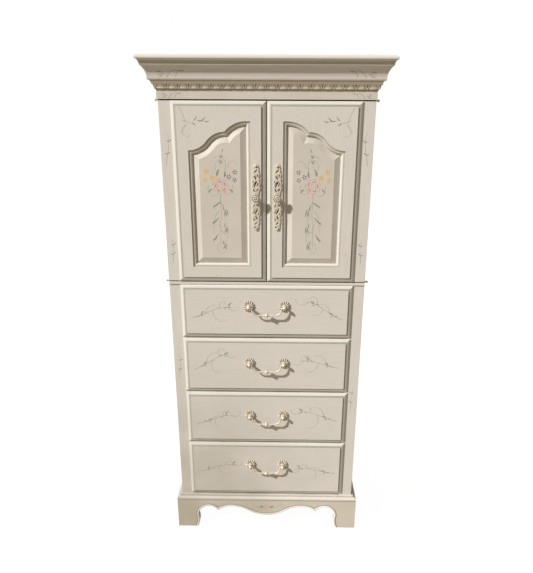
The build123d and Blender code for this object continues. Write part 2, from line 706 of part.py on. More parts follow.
def pull_post(index, side):
    """Fluted rosette with the ball-ended post that the bail hangs from."""
    ball_run = sqrt(POST_BALL_RADIUS**2 - POST_RADIUS**2)
    ball_foot = PULL_STANDOFF - ball_run
    ball_top = PULL_STANDOFF + POST_BALL_RADIUS
    pivot_plane = Plane(
        (side * PULL_CENTRES / 2, DRAWER_FIELD_Y, pull_height(index)), x_dir=(1, 0, 0), z_dir=(0, 0, 1)
    )
    with BuildPart() as post:
        with BuildSketch(pivot_plane):
            with BuildLine():
                Polyline((0, 0), (ROSETTE_RADIUS, 0), (ROSETTE_RADIUS, -ROSETTE_RIM))
                boss = (ROSETTE_BOSS_RADIUS, -ROSETTE_DOME)
                RadiusArc((ROSETTE_RADIUS, -ROSETTE_RIM), boss, ROSETTE_RADIUS)
                Polyline(boss, (POST_RADIUS, -ROSETTE_DOME), (POST_RADIUS, -ball_foot))
                ThreePointArc(
                    (POST_RADIUS, -ball_foot), (POST_BALL_RADIUS, -PULL_STANDOFF), (0, -ball_top)
                )
                Line((0, -ball_top), (0, 0))
            make_face()
        revolve(axis=Axis(pivot_plane.origin, (0, 1, 0)))
        with Locations(Plane(pivot_plane.origin, x_dir=(1, 0, 0), z_dir=(0, -1, 0))):
            with PolarLocations(ROSETTE_RADIUS + FLUTE_RADIUS - FLUTE_BITE, ROSETTE_FLUTES):
                Cylinder(FLUTE_RADIUS, 2 * PULL_STANDOFF, mode=Mode.SUBTRACT)
            Cylinder(BOLT_RADIUS + FIT, 2 * BOLT_REACH, mode=Mode.SUBTRACT)
        with Locations(Plane(pivot_plane.origin, x_dir=(0, 1, 0), z_dir=(-side, 0, 0))):
            with Locations((-PULL_STANDOFF, 0, POST_BALL_RADIUS - BAIL_PIN_DEPTH - FIT)):
                Cylinder(
                    BAIL_PIN_RADIUS + FIT,
                    POST_BALL_RADIUS,
                    align=(Align.CENTER, Align.CENTER, Align.MIN),
                    mode=Mode.SUBTRACT,
                )
    return post.part


def bolt(x, z, back_y, tip_y):
    """Round-headed bolt from inside a front, with its head on the back face."""
    with BuildPart() as screw:
        with BuildSketch(upright(back_y)):
            with Locations((x, z)):
                Circle(BOLT_HEAD_RADIUS)
        extrude(amount=-BOLT_HEAD_THICK)
        with BuildSketch(upright(back_y)):
            with Locations((x, z)):
                Circle(BOLT_RADIUS)
        extrude(amount=back_y - tip_y)
    return screw.part


def bail(index):
    """Bent rod that hangs between the two posts, with a bead at its middle."""
    pivot_y = DRAWER_FIELD_Y - PULL_STANDOFF
    plane = Plane((0, pivot_y, pull_height(index)), x_dir=(1, 0, 0), z_dir=(0, -1, 0))
    pin_x = PULL_CENTRES / 2 - POST_BALL_RADIUS + BAIL_PIN_DEPTH
    arm_x = PULL_CENTRES / 2 - BAIL_ARM_OFFSET
    bar_x = arm_x - BAIL_ARM_LEAN
    with BuildPart() as rod:
        with BuildLine(plane) as path:
            FilletPolyline(
                (-pin_x, 0),
                (-arm_x, 0),
                (-bar_x, -BAIL_DROP),
                (bar_x, -BAIL_DROP),
                (arm_x, 0),
                (pin_x, 0),
                radius=(BAIL_SHOULDER, BAIL_BEND, BAIL_BEND, BAIL_SHOULDER),
            )
        for run in path.line.edges():
            with BuildSketch(Plane(run @ 0, x_dir=(0, 1, 0), z_dir=run % 0)):
                Circle(BAIL_PIN_RADIUS)
            if run.geom_type == GeomType.LINE:
                extrude(amount=run.length)
            else:
                turn = (run @ 0 - run.arc_center).cross(run % 0)
                revolve(axis=Axis(run.arc_center, turn), revolution_arc=degrees(run.length / run.radius))
        bar_centre = (0, pivot_y, pull_height(index) - BAIL_DROP)
        with Locations(Plane(bar_centre, x_dir=(0, 1, 0), z_dir=(1, 0, 0))):
            Cylinder(BAIL_COLLAR_RADIUS, BAIL_COLLAR_LENGTH)
            Sphere(BAIL_BEAD_RADIUS)
    return rod.part


for drawer in DRAWERS:
    number = drawer + 1
    bolts = [
        bolt(side * PULL_CENTRES / 2, pull_height(drawer), DRAWER_BACK_Y, DRAWER_FIELD_Y - BOLT_REACH)
        for side in (-1, 1)
    ]
    save(f"drawer_{number}_front", drawer_front(drawer))
    save(f"drawer_{number}_box", *drawer_box(drawer))
    save(f"drawer_{number}_pull_posts", pull_post(drawer, -1), pull_post(drawer, 1), *bolts)
    save(f"drawer_{number}_bail", bail(drawer))


# Doors, drawn for the left one
LIP_LEFT = -HALF_LIP
LIP_RIGHT = -MEETING_GAP / 2
PANEL_LEFT = LIP_LEFT + DOOR_STILE_WIDTH
PANEL_RIGHT = LIP_RIGHT - DOOR_STILE_WIDTH
PANEL_FOOT_Z = DOOR_Z + DOOR_BOTTOM_RAIL
PANEL_TOP_Z = DOOR_TOP_Z - DOOR_TOP_RAIL
PANEL_WIDTH = PANEL_RIGHT - PANEL_LEFT
ARCH_STEP = ARCH_STEP_SHARE * PANEL_WIDTH
ARCH_SWEEP_RUN = ARCH_SWEEP_SHARE * PANEL_WIDTH
ARCH_LOW_Z = PANEL_TOP_Z - ARCH_RISE_SHARE * PANEL_WIDTH
STICK_WIDTH = STICK_LEDGE + STICK_ROUND
ARCH_SHOULDER_X = PANEL_RIGHT - STICK_WIDTH
ARCH_CUSP_X = ARCH_SHOULDER_X - ARCH_SWEEP_RUN
ARCH_CUSP_Z = PANEL_TOP_Z - ARCH_STEP


def arc_radius(run, rise):
    """Radius of an arc that starts level and ends `run` along and `rise` up."""
    return (run**2 + rise**2) / (2 * rise)


def panel_face(inset):
    """Arched panel outline, drawn `inset` inside the opening, X across and Y up.

    An ogee climbs from the hinge side to a cusp, then a sweep reaches the level shoulder, which is
    as wide as the sticking, so that further in the sweep runs right up to the edge.
    """
    ogee_run = (ARCH_CUSP_X - PANEL_LEFT) / 2
    ogee_rise = (ARCH_CUSP_Z - ARCH_LOW_Z) / 2
    ogee = arc_radius(ogee_run, ogee_rise)
    sweep_up = arc_radius(ARCH_SWEEP_RUN, ARCH_STEP)
    hollow = (PANEL_LEFT, ARCH_LOW_Z + ogee)
    swell = (ARCH_CUSP_X, ARCH_CUSP_Z - ogee)
    crown = (ARCH_SHOULDER_X, PANEL_TOP_Z - sweep_up)
    left, right = PANEL_LEFT + inset, PANEL_RIGHT - inset
    foot = PANEL_FOOT_Z + inset
    start = (left, hollow[1] - sqrt((ogee + inset) ** 2 - inset**2))
    turn_share = (ogee + inset) / (2 * ogee)
    turn = tuple(a + (b - a) * turn_share for a, b in zip(hollow, swell))
    cusp = circle_crossing(swell, ogee - inset, crown, sweep_up - inset)
    level = inset < STICK_WIDTH
    sweep_x = ARCH_SHOULDER_X if level else right
    top = crown[1] + sqrt((sweep_up - inset) ** 2 - (sweep_x - crown[0]) ** 2)
    with BuildSketch() as face:
        with BuildLine():
            Polyline((right, top), (right, foot), (left, foot), start)
            arc_between(start, turn, hollow, ogee + inset, -1)
            arc_between(turn, cusp, swell, ogee - inset, 1)
            arc_between(cusp, (sweep_x, top), crown, sweep_up - inset, 1)
            if level:
                Line((sweep_x, top), (right, top))
        make_face()
    return face.sketch


def circle_crossing(first, first_radius, second, second_radius):
    """The upper of the two points where two circles cross."""
    dx, dy = second[0] - first[0], second[1] - first[1]
    apart = hypot(dx, dy)
    along = (apart**2 + first_radius**2 - second_radius**2) / (2 * apart)
    aside = sqrt(first_radius**2 - along**2)
    return (
        first[0] + (along * dx - aside * dy) / apart,
        first[1] + (along * dy + aside * dx) / apart,
    )


def arc_between(start, end, centre, radius, bulge):
    """Arc about a known centre, bulging up (1) or hanging down (-1)."""
    middle = ((start[0] + end[0]) / 2 - centre[0], (start[1] + end[1]) / 2 - centre[1])
    reach = radius / hypot(*middle)
    if middle[1] * bulge < 0:
        reach = -reach
    ThreePointArc(start, (centre[0] + middle[0] * reach, centre[1] + middle[1] * reach), end)


def panel_prism(inset, front_y, back_y):
    """Straight-sided block of the panel outline between two depths."""
    with BuildPart() as prism:
        with BuildSketch(upright(back_y)):
            add(panel_face(inset))
        extrude(amount=back_y - front_y)
    return prism.part


def panel_frustum(front_inset, front_y, back_inset, back_y):
    """Sloping block between two panel outlines."""
    with BuildPart() as frustum:
        with BuildSketch(upright(back_y)):
            add(panel_face(back_inset))
        with BuildSketch(upright(front_y)):
            add(panel_face(front_inset))
        loft(ruled=True)
    return frustum.part


STICK_Y = DOOR_FIELD_Y + STICK_STEP
PANEL_EDGE_Y = STICK_Y + STICK_ROUND
PANEL_BACK_Y = PANEL_EDGE_Y + PANEL_THICK

door_post = eased(
    board((-HALF_CASE, -HALF_OPENING), (DOOR_FACE_Y, DOOR_FACE_Y + POST_THICK), (DOOR_Z, DOOR_TOP_Z))
)

PULL_X = (PANEL_RIGHT + LIP_RIGHT - LIP_LEDGE) / 2
KNOB_Z = DOOR_Z + KNOB_RISE

with BuildPart() as door_frame:
    add(lipped_slab((LIP_LEFT, LIP_RIGHT), (DOOR_Z, DOOR_TOP_Z), DOOR_FACE_Y))
    add(board((-HALF_OPENING, LIP_RIGHT), (DOOR_FACE_Y, DOOR_BACK_Y), (DOOR_Z, DOOR_TOP_Z)))
    add(panel_prism(0, DOOR_FIELD_Y, DOOR_BACK_Y), mode=Mode.SUBTRACT)
    add(panel_prism(-PANEL_RABBET, PANEL_EDGE_Y, DOOR_BACK_Y), mode=Mode.SUBTRACT)
    with Locations(upright(DOOR_FACE_Y)):
        with Locations((PULL_X, KNOB_Z)):
            Cylinder(BOLT_RADIUS + BOLT_HOLE_CLEAR, CASE_DEPTH, mode=Mode.SUBTRACT)
    split(bisect_by=Plane.YZ.offset(PANEL_LEFT), keep=Keep.BOTH)
    split(bisect_by=Plane.YZ.offset(PANEL_RIGHT), keep=Keep.BOTH)

with BuildPart() as panel_moulding:
    add(panel_prism(0, STICK_Y, PANEL_EDGE_Y))
    add(panel_prism(STICK_WIDTH, STICK_Y, PANEL_EDGE_Y), mode=Mode.SUBTRACT)
    inner_edges = panel_moulding.faces().sort_by(Axis.Y)[0].inner_wires()[0].edges()
    fillet(inner_edges, STICK_ROUND - FIT)

with BuildPart() as door_panel:
    add(panel_prism(PANEL_PLAY - PANEL_RABBET, PANEL_EDGE_Y, PANEL_BACK_Y))
    add(
        panel_frustum(
            STICK_WIDTH + PANEL_BEVEL, PANEL_EDGE_Y - PANEL_RISE, STICK_WIDTH, PANEL_EDGE_Y
        )
    )


def scroll_plate():
    """Pierced plate behind the door knob: a disc, two rings, two leaves and two ends on a stem."""
    ring_z = PLATE_DISC_RADIUS + PLATE_RING_RADIUS - PLATE_STEM_RADIUS
    end_z = PLATE_HEIGHT / 2 - PLATE_END_RADIUS
    leaf_z = (ring_z + end_z) / 2
    leaf_half = (end_z - ring_z) / 2
    with BuildPart() as plate:
        with BuildSketch(upright(DOOR_FIELD_Y)):
            with Locations((PULL_X, KNOB_Z)):
                Circle(PLATE_DISC_RADIUS)
                Rectangle(2 * PLATE_STEM_RADIUS, 2 * end_z)
            for way in (-1, 1):
                with Locations((PULL_X, KNOB_Z + way * leaf_z)):
                    Ellipse(PLATE_LEAF_RADIUS, leaf_half)
                with Locations((PULL_X, KNOB_Z + way * end_z)):
                    Circle(PLATE_END_RADIUS)
                with Locations((PULL_X, KNOB_Z + way * ring_z)):
                    Circle(PLATE_RING_RADIUS)
                    Circle(PLATE_RING_HOLE, mode=Mode.SUBTRACT)
            with Locations((PULL_X, KNOB_Z)):
                Circle(BOLT_RADIUS + BOLT_HOLE_CLEAR, mode=Mode.SUBTRACT)
        extrude(amount=PLATE_THICK)
    return plate.part


def door_knob():
    """Fluted round knob on a neck, pointing to the front."""
    base_y = DOOR_FIELD_Y - PLATE_THICK
    plane = Plane((PULL_X, base_y, KNOB_Z), x_dir=(1, 0, 0), z_dir=(0, 0, 1))
    rim = -KNOB_NECK_LENGTH - KNOB_HEAD_THICK / 3
    top = -KNOB_NECK_LENGTH - KNOB_HEAD_THICK
    with BuildPart() as knob:
        with BuildSketch(plane):
            with BuildLine():
                Polyline(
                    (0, 0),
                    (KNOB_NECK_RADIUS, 0),
                    (KNOB_NECK_RADIUS, -KNOB_NECK_LENGTH),
                    (KNOB_RADIUS, -KNOB_NECK_LENGTH),
                    (KNOB_RADIUS, rim),
                )
                TangentArc((0, top), (KNOB_RADIUS, rim), tangent=(1, 0))
                Line((0, top), (0, 0))
            make_face()
        revolve(axis=Axis(plane.origin, (0, 1, 0)))
        with Locations(Plane(plane.origin, x_dir=(1, 0, 0), z_dir=(0, -1, 0))):
            with PolarLocations(KNOB_RADIUS + FLUTE_RADIUS - FLUTE_BITE, KNOB_FLUTES):
                Cylinder(FLUTE_RADIUS, 4 * KNOB_NECK_LENGTH, mode=Mode.SUBTRACT)
            Cylinder(BOLT_RADIUS + FIT, 2 * BOLT_REACH, mode=Mode.SUBTRACT)
    return knob.part


def hinge_leaf(gap_foot, upper, pinned):
    """One leaf of a left knife hinge: a strip out to half a ball round the pivot.

    The upper leaf of a pair carries the top half of the ball, and the pinned leaf the pivot pin.
    """
    low = gap_foot + HINGE_GAP - LEAF_THICK if upper else gap_foot
    inner_z = low if upper else low + LEAF_THICK
    centre_z = gap_foot + HINGE_GAP / 2
    away = 1 if upper else -1
    pivot = (-HINGE_X, HINGE_Y)
    with BuildPart() as leaf:
        with BuildSketch(Plane.XY.offset(low)):
            with Locations(pivot):
                Circle(HINGE_BALL_RADIUS)
                Rectangle(HINGE_OFFSET, HINGE_BALL_RADIUS, align=(Align.MIN, Align.CENTER))
            with Locations((-HALF_CASE, HINGE_Y)):
                Rectangle(HINGE_LEAF_LENGTH, HINGE_LEAF_WIDTH, align=(Align.MIN, Align.CENTER))
        extrude(amount=LEAF_THICK)
        with Locations((*pivot, centre_z)):
            Sphere(HINGE_BALL_RADIUS)
        split(bisect_by=Plane.XY.offset(inner_z), keep=Keep.TOP if upper else Keep.BOTTOM)
        if pinned:
            with Locations((*pivot, inner_z)):
                Cylinder(HINGE_PIN_RADIUS, 2 * (HINGE_SLIT + LEAF_THICK))
        else:
            with Locations((*pivot, inner_z)):
                Cylinder(
                    HINGE_PIN_RADIUS + FIT,
                    2 * (LEAF_THICK + 2 * FIT) + HINGE_SLIT,
                    mode=Mode.SUBTRACT,
                )
    return leaf.part


TOP_GAP_Z = DOOR_TOP_Z
LOW_GAP_Z = CABINET_Z
left_case_leaves = (hinge_leaf(TOP_GAP_Z, True, True), hinge_leaf(LOW_GAP_Z, False, True))
left_door_leaves = (hinge_leaf(TOP_GAP_Z, False, False), hinge_leaf(LOW_GAP_Z, True, False))
save("case_hinge_leaves", *left_case_leaves, *[mirrored(leaf) for leaf in left_case_leaves])

CATCH_X = LIP_RIGHT - DOOR_STILE_WIDTH / 2
CATCH_TOP_Z = CORNICE_Z - BOARD_THICK
CATCH_Y = DOOR_BACK_Y + STRIKE_THICK + CATCH_GAP
left_catch = board(
    (CATCH_X - CATCH_WIDTH / 2, CATCH_X + CATCH_WIDTH / 2),
    (CATCH_Y, CATCH_Y + CATCH_DEPTH),
    (CATCH_TOP_Z - CATCH_HEIGHT, CATCH_TOP_Z),
)
save("door_catches", left_catch, mirrored(left_catch))
door_strike = board(
    (CATCH_X - CATCH_WIDTH / 2 + STRIKE_MARGIN, CATCH_X + CATCH_WIDTH / 2 - STRIKE_MARGIN),
    (DOOR_BACK_Y, DOOR_BACK_Y + STRIKE_THICK),
    (CATCH_TOP_Z - CATCH_HEIGHT + STRIKE_MARGIN, CATCH_TOP_Z - STRIKE_MARGIN),
)
knob_bolt = bolt(PULL_X, KNOB_Z, DOOR_BACK_Y, DOOR_FIELD_Y - PLATE_THICK - BOLT_REACH)

DOOR_NODES = {
    "post": [door_post],
    "frame": door_frame.part.solids(),
    "panel_moulding": [panel_moulding.part],
    "panel": [door_panel.part],
    "pull_plate": [scroll_plate()],
    "knob": [door_knob(), knob_bolt],
    "hinge_leaves": left_door_leaves,
    "strike": [door_strike],
}
for name, pieces in DOOR_NODES.items():
    save(f"left_door_{name}", *pieces)
    save(f"right_door_{name}", *[mirrored(piece) for piece in pieces])
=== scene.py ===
"""Looks of the painted armoire: ivory paint, carved cornice, cast pulls, apron bead and painted sprays."""

import random
from math import atan2, cos, degrees, hypot, pi, radians, sin, sqrt, tan

import bpy
from mathutils import Matrix, Vector


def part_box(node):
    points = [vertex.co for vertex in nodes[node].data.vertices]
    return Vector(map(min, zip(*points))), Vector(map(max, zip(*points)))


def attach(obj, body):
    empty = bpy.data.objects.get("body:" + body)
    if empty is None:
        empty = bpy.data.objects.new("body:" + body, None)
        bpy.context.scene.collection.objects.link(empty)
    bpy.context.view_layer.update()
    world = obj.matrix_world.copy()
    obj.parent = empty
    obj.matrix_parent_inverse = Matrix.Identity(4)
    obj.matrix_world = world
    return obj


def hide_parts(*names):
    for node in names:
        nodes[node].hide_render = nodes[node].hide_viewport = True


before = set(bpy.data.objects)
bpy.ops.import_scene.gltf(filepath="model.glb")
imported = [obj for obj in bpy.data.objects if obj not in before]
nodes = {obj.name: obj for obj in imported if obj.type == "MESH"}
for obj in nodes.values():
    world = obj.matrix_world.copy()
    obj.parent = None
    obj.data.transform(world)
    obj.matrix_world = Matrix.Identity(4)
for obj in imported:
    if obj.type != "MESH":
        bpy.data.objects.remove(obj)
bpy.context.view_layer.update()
bpy.ops.object.select_all(action="DESELECT")
scene = bpy.context.scene
scene.view_settings.view_transform = "Standard"

MM = 0.001
DRAWERS = (1, 2, 3, 4)
SIDES = {"left": -1, "right": 1}


# Colours
def srgb(*levels):
    """Linear colour from the usual 0 to 255 values."""
    shares = [level / 255 for level in levels]
    return (*(s / 12.92 if s <= 0.04045 else ((s + 0.055) / 1.055) ** 2.4 for s in shares), 1.0)


IVORY = srgb(210, 206, 200)
# Slightly darker paint as painted shade on the sunken door panels and the frieze under the cornice
IVORY_HALF_SHADE = srgb(200, 194, 184)
# Slightly darker paint as painted shade on the base, low down
IVORY_LOW_SHADE = srgb(200, 193, 180)
# Painted shade: rails between the drawers, in the shadow of the lips
IVORY_SHADED = srgb(128, 117, 101)
# Lighter paint as painted light for the shaded carving, the apron bead and part of the crown
IVORY_PAINTED_LIGHT = srgb(246, 240, 229)
IVORY_STREAK = srgb(196, 188, 175)
IVORY_BLUSH = srgb(215, 208, 202)
# Umber for antique glazing and for painted shade in hollows and on shaded mouldings
UMBER_GLAZE_AND_SHADE = srgb(128, 108, 76)
LOW_LEFT_SHADE = srgb(130, 121, 100)
# Painted shade: the piece darkens low down and on the left
SPECK_BROWN = srgb(120, 92, 66)
SAGE = srgb(170, 172, 158)
SAGE_LINE = srgb(152, 156, 141)
MAUVE = srgb(118, 98, 94)
METAL_IVORY = srgb(206, 195, 177)
# Dark brown for the metal's patina and for painted shade in its hollows
METAL_GLAZE_AND_SHADE = srgb(74, 58, 36)
BRASS = srgb(72, 59, 44)
STEEL = srgb(150, 150, 150)
BIRCH = {"Color": srgb(206, 176, 132), "Grain_Color": srgb(172, 136, 92)}
STAIN = {"Color": srgb(188, 158, 116), "Grain_Color": srgb(146, 112, 74)}
PLASTIC = srgb(120, 92, 68)


# Shared node groups
EVEN = (1.0, 1.0, 1.0)
MIX_FACTOR, MIX_FIRST, MIX_SECOND, MIX_RESULT = 0, 6, 7, 2
HOLLOW_SAMPLES = 6
GLAZE_AND_SHADE_REACH = 7 * MM


def new_group(name, inputs, outputs):
    """Empty node group with sockets by name and kind, then what it is given, then its sink."""
    group = bpy.data.node_groups.new(name, "ShaderNodeTree")
    for way, sockets in (("INPUT", inputs), ("OUTPUT", outputs)):
        for socket, kind in sockets.items():
            group.interface.new_socket(socket, in_out=way, socket_type=f"NodeSocket{kind}")
    return group, group.nodes.new("NodeGroupInput").outputs, group.nodes.new("NodeGroupOutput")


def wire(source, target):
    """Feed an input from another socket, or with a plain value."""
    if isinstance(source, bpy.types.NodeSocket):
        target.id_data.links.new(source, target)
    else:
        target.default_value = source


def mixed_colour(factor, first, second):
    """Two colours mixed by a socket; each colour is a socket or a plain value."""
    mix = factor.id_data.nodes.new("ShaderNodeMix")
    mix.data_type = "RGBA"
    for source, socket in ((factor, MIX_FACTOR), (first, MIX_FIRST), (second, MIX_SECOND)):
        wire(source, mix.inputs[socket])
    return mix.outputs[MIX_RESULT]


def layered(colour, layers):
    """Colour under layers that are given as (share, colour)."""
    for share, layer in layers:
        colour = mixed_colour(share, colour, layer)
    return colour


def feed(node, **values):
    """Set a node's inputs by name, each from a socket or with a plain value."""
    for name, value in values.items():
        wire(value, node.inputs[name.replace("_", " ")])


def remapped(value, from_low, from_high, to_low, to_high):
    """Value carried smoothly from one range to another."""
    ramp = value.id_data.nodes.new("ShaderNodeMapRange")
    ramp.interpolation_type = "SMOOTHSTEP"
    feed(ramp, Value=value, From_Min=from_low, From_Max=from_high, To_Min=to_low, To_Max=to_high)
    return ramp.outputs["Result"]


def combined(operation, first, second):
    """A socket and another value through one maths step."""
    step = first.id_data.nodes.new("ShaderNodeMath")
    step.operation = operation
    wire(first, step.inputs[0])
    wire(second, step.inputs[1])
    return step.outputs[0]


def own_axes(tree):
    """X, Y and Z of the piece's own coordinates."""
    place = tree.nodes.new("ShaderNodeTexCoord")
    axes = tree.nodes.new("ShaderNodeSeparateXYZ")
    wire(place.outputs["Object"], axes.inputs[0])
    return axes.outputs


def stretched_noise(tree, grain, scale, detail):
    """Noise over the piece's own coordinates, drawn out by a grain vector."""
    place = tree.nodes.new("ShaderNodeTexCoord")
    stretch = tree.nodes.new("ShaderNodeVectorMath")
    stretch.operation = "MULTIPLY"
    wire(place.outputs["Object"], stretch.inputs[0])
    wire(grain, stretch.inputs[1])
    noise = tree.nodes.new("ShaderNodeTexNoise")
    feed(noise, Vector=stretch.outputs[0], Scale=scale, Detail=detail)
    return noise.outputs["Fac"]


def hollow_share(tree, reach, open_from, deepest):
    """How deep in a hollow of its own piece a point lies, 0 in the open."""
    shade = tree.nodes.new("ShaderNodeAmbientOcclusion")
    shade.only_local = True
    shade.samples = HOLLOW_SAMPLES
    feed(shade, Distance=reach)
    return remapped(shade.outputs["AO"], 0.35, open_from, deepest, 0.0)


def groove_mark(tree):
    """Share of painted shade that a carved or cast piece carries in its grooves."""
    mark = tree.nodes.new("ShaderNodeAttribute")
    mark.attribute_name = "groove"
    return mark.outputs["Fac"]


def low_left_shade_share(tree):
    """Share of painted shade, strongest low on the left."""
    axes = own_axes(tree)
    down = remapped(axes["Z"], 0.0, 0.95, 0.48, 0.02)
    across = remapped(axes["X"], -0.34, 0.3, 1.0, 0.12)
    return combined("MULTIPLY", down, across)


def make_brushed_paint():
    """Paint with brush streaks, clouds and specks, darker in the hollows from antique glazing and painted
    shade.
    """
    # The Glaze input scales both the antique glazing and the painted shade in the hollows
    group, given, sink = new_group(
        "brushed_paint",
        {"Color": "Color", "Grain": "Vector", "Glaze": "Float"},
        {"Color": "Color", "Roughness": "Float", "Height": "Float"},
    )
    streak = stretched_noise(group, given["Grain"], 1.0, 4.0)
    streak_share = remapped(streak, 0.42, 0.72, 0.0, 0.42)
    cloud = remapped(stretched_noise(group, EVEN, 6.0, 2.0), 0.4, 0.75, 0.0, 0.35)
    speck = remapped(stretched_noise(group, EVEN, 210.0, 1.0), 0.74, 0.8, 0.0, 0.45)
    # Darker in the hollows and marked grooves: partly antique glazing, partly painted shade
    hollow = hollow_share(group, GLAZE_AND_SHADE_REACH, 0.95, 1.0)
    hollow = combined("MULTIPLY", hollow, given["Glaze"])
    glaze_and_shade = combined("MAXIMUM", hollow, groove_mark(group))
    layers = [
        (streak_share, IVORY_STREAK),
        (low_left_shade_share(group), LOW_LEFT_SHADE),
        (cloud, IVORY_BLUSH),
        (speck, SPECK_BROWN),
        (glaze_and_shade, UMBER_GLAZE_AND_SHADE),
    ]
    colour = layered(given["Color"], layers)
    roughness = remapped(streak, 0.3, 0.7, 0.38, 0.52)
    feed(sink, Color=colour, Roughness=roughness, Height=streak)
    return group


def make_paint_band():
    """Mask of a painted band with a slightly unsteady edge."""
    group, given, sink = new_group(
        "paint_band",
        {"Value": "Float", "Low": "Float", "High": "Float", "Softness": "Float"},
        {"Mask": "Float"},
    )
    wobble = combined("SUBTRACT", stretched_noise(group, EVEN, 60.0, 2.0), 0.5)
    shift = combined("MULTIPLY", wobble, given["Softness"])
    value = combined("ADD", given["Value"], shift)
    above = combined("SUBTRACT", value, given["Low"])
    below = combined("SUBTRACT", given["High"], value)
    inside = combined("MINIMUM", above, below)
    share = combined("DIVIDE", inside, given["Softness"])
    feed(sink, Mask=remapped(share, -0.5, 0.5, 0.0, 1.0))
    return group


def make_wood():
    """Plain wood with long grain along one axis."""
    group, given, sink = new_group(
        "plain_wood",
        {"Color": "Color", "Grain Color": "Color", "Grain": "Vector"},
        {"Color": "Color", "Height": "Float"},
    )
    line = stretched_noise(group, given["Grain"], 1.0, 5.0)
    patch = remapped(stretched_noise(group, EVEN, 4.0, 2.0), 0.35, 0.7, 0.0, 0.3)
    share = remapped(line, 0.38, 0.68, 0.0, 0.85)
    grain_colour = given["Grain Color"]
    colour = layered(given["Color"], [(share, grain_colour), (patch, grain_colour)])
    feed(sink, Color=colour, Height=line)
    return group


def make_cast_metal():
    """Pale cast metal, mottled with patina, darker in its hollows and marked grooves from patina and painted
    shade.
    """
    # The Glaze Color input colours both the patina and the painted shade
    group, given, sink = new_group(
        "cast_metal",
        {"Color": "Color", "Glaze Color": "Color", "Reach": "Float"},
        {"Color": "Color", "Roughness": "Float"},
    )
    hollow = hollow_share(group, given["Reach"], 0.97, 0.95)
    mottle = stretched_noise(group, EVEN, 180.0, 3.0)
    patch = remapped(mottle, 0.5, 0.75, 0.0, 0.25)
    deepest = combined("MAXIMUM", hollow, groove_mark(group))
    glaze_and_shade = given["Glaze Color"]
    colour = layered(given["Color"], [(patch, glaze_and_shade), (deepest, glaze_and_shade)])
    feed(sink, Color=colour, Roughness=remapped(mottle, 0.3, 0.7, 0.38, 0.55))
    return group


PAINT_GROUP = make_brushed_paint()
BAND_GROUP = make_paint_band()
WOOD_GROUP = make_wood()
METAL_GROUP = make_cast_metal()

GRAIN_ACROSS = (9.0, 260.0, 420.0)
GRAIN_UPRIGHT = (420.0, 260.0, 9.0)
GRAIN_DEEP = (260.0, 9.0, 420.0)


# Materials
def new_material(name):
    """New material, its tree and its shader."""
    material = bpy.data.materials.new(name)
    material.use_nodes = True
    tree = material.node_tree
    return material, tree, tree.nodes["Principled BSDF"]


def group_node(tree, group, **values):
    """Outputs of a shared group with some of its inputs set."""
    node = tree.nodes.new("ShaderNodeGroup")
    node.node_tree = group
    feed(node, **values)
    return node.outputs


def add_bump(shader, height, strength, distance):
    """Fine relief on the shader's normal."""
    bump = height.id_data.nodes.new("ShaderNodeBump")
    feed(bump, Strength=strength, Distance=distance, Height=height)
    feed(shader, Normal=bump.outputs["Normal"])


def paint_material(name, grain, bands=(), glaze_and_shade=0.8, inside=None, colour=IVORY):
    """Paint with bands as (axis, start, end, softness, colour, share), and bare wood inside a half width."""
    material, tree, shader = new_material(name)
    paint = group_node(tree, PAINT_GROUP, Color=colour, Grain=grain, Glaze=glaze_and_shade)
    colour = paint["Color"]
    axes = own_axes(tree)
    for axis, start, end, softness, band_colour, share in bands:
        band = group_node(tree, BAND_GROUP, Value=axes[axis], Low=start, High=end, Softness=softness)
        covered = combined("MULTIPLY", band["Mask"], share)
        colour = mixed_colour(covered, colour, band_colour)
    if inside is not None:
        wood = group_node(tree, WOOD_GROUP, **STAIN, Grain=GRAIN_UPRIGHT)
        across = combined("ABSOLUTE", axes["X"], 0.0)
        within = combined("LESS_THAN", across, inside)
        colour = mixed_colour(within, colour, wood["Color"])
    feed(shader, Base_Color=colour, Roughness=paint["Roughness"], Specular_IOR_Level=0.3)
    add_bump(shader, paint["Height"], strength=0.12, distance=0.6 * MM)
    return material


def wood_material(name, colours, grain):
    """Bare or stained wood."""
    material, tree, shader = new_material(name)
    wood = group_node(tree, WOOD_GROUP, **colours, Grain=grain)
    feed(shader, Base_Color=wood["Color"], Roughness=0.6)
    add_bump(shader, wood["Height"], strength=0.15, distance=0.8 * MM)
    return material


def metal_material(name, colour, reach, metallic, glaze_and_shade=METAL_GLAZE_AND_SHADE, ivory_beyond=None):
    """Cast or turned metal, painted ivory beyond a half width if one is given."""
    material, tree, shader = new_material(name)
    metal = group_node(tree, METAL_GROUP, Color=colour, Glaze_Color=glaze_and_shade, Reach=reach)
    colour = metal["Color"]
    if ivory_beyond is not None:
        across = combined("ABSOLUTE", own_axes(tree)["X"], 0.0)
        outside = combined("GREATER_THAN", across, ivory_beyond)
        colour = mixed_colour(outside, colour, METAL_IVORY)
    feed(shader, Base_Color=colour, Roughness=metal["Roughness"], Metallic=metallic)
    return material


def stroke_material(name, colour, streak):
    """Artist's paint laid on in one stroke, thinner in places."""
    material, tree, shader = new_material(name)
    thin = remapped(stretched_noise(tree, EVEN, 320.0, 2.0), 0.35, 0.7, 0.0, streak)
    feed(shader, Base_Color=mixed_colour(thin, colour, IVORY), Roughness=0.5)
    return material


def low(node):
    """Lower corner of a node's box."""
    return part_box(node)[0]


def high(node):
    """Upper corner of a node's box."""
    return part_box(node)[1]


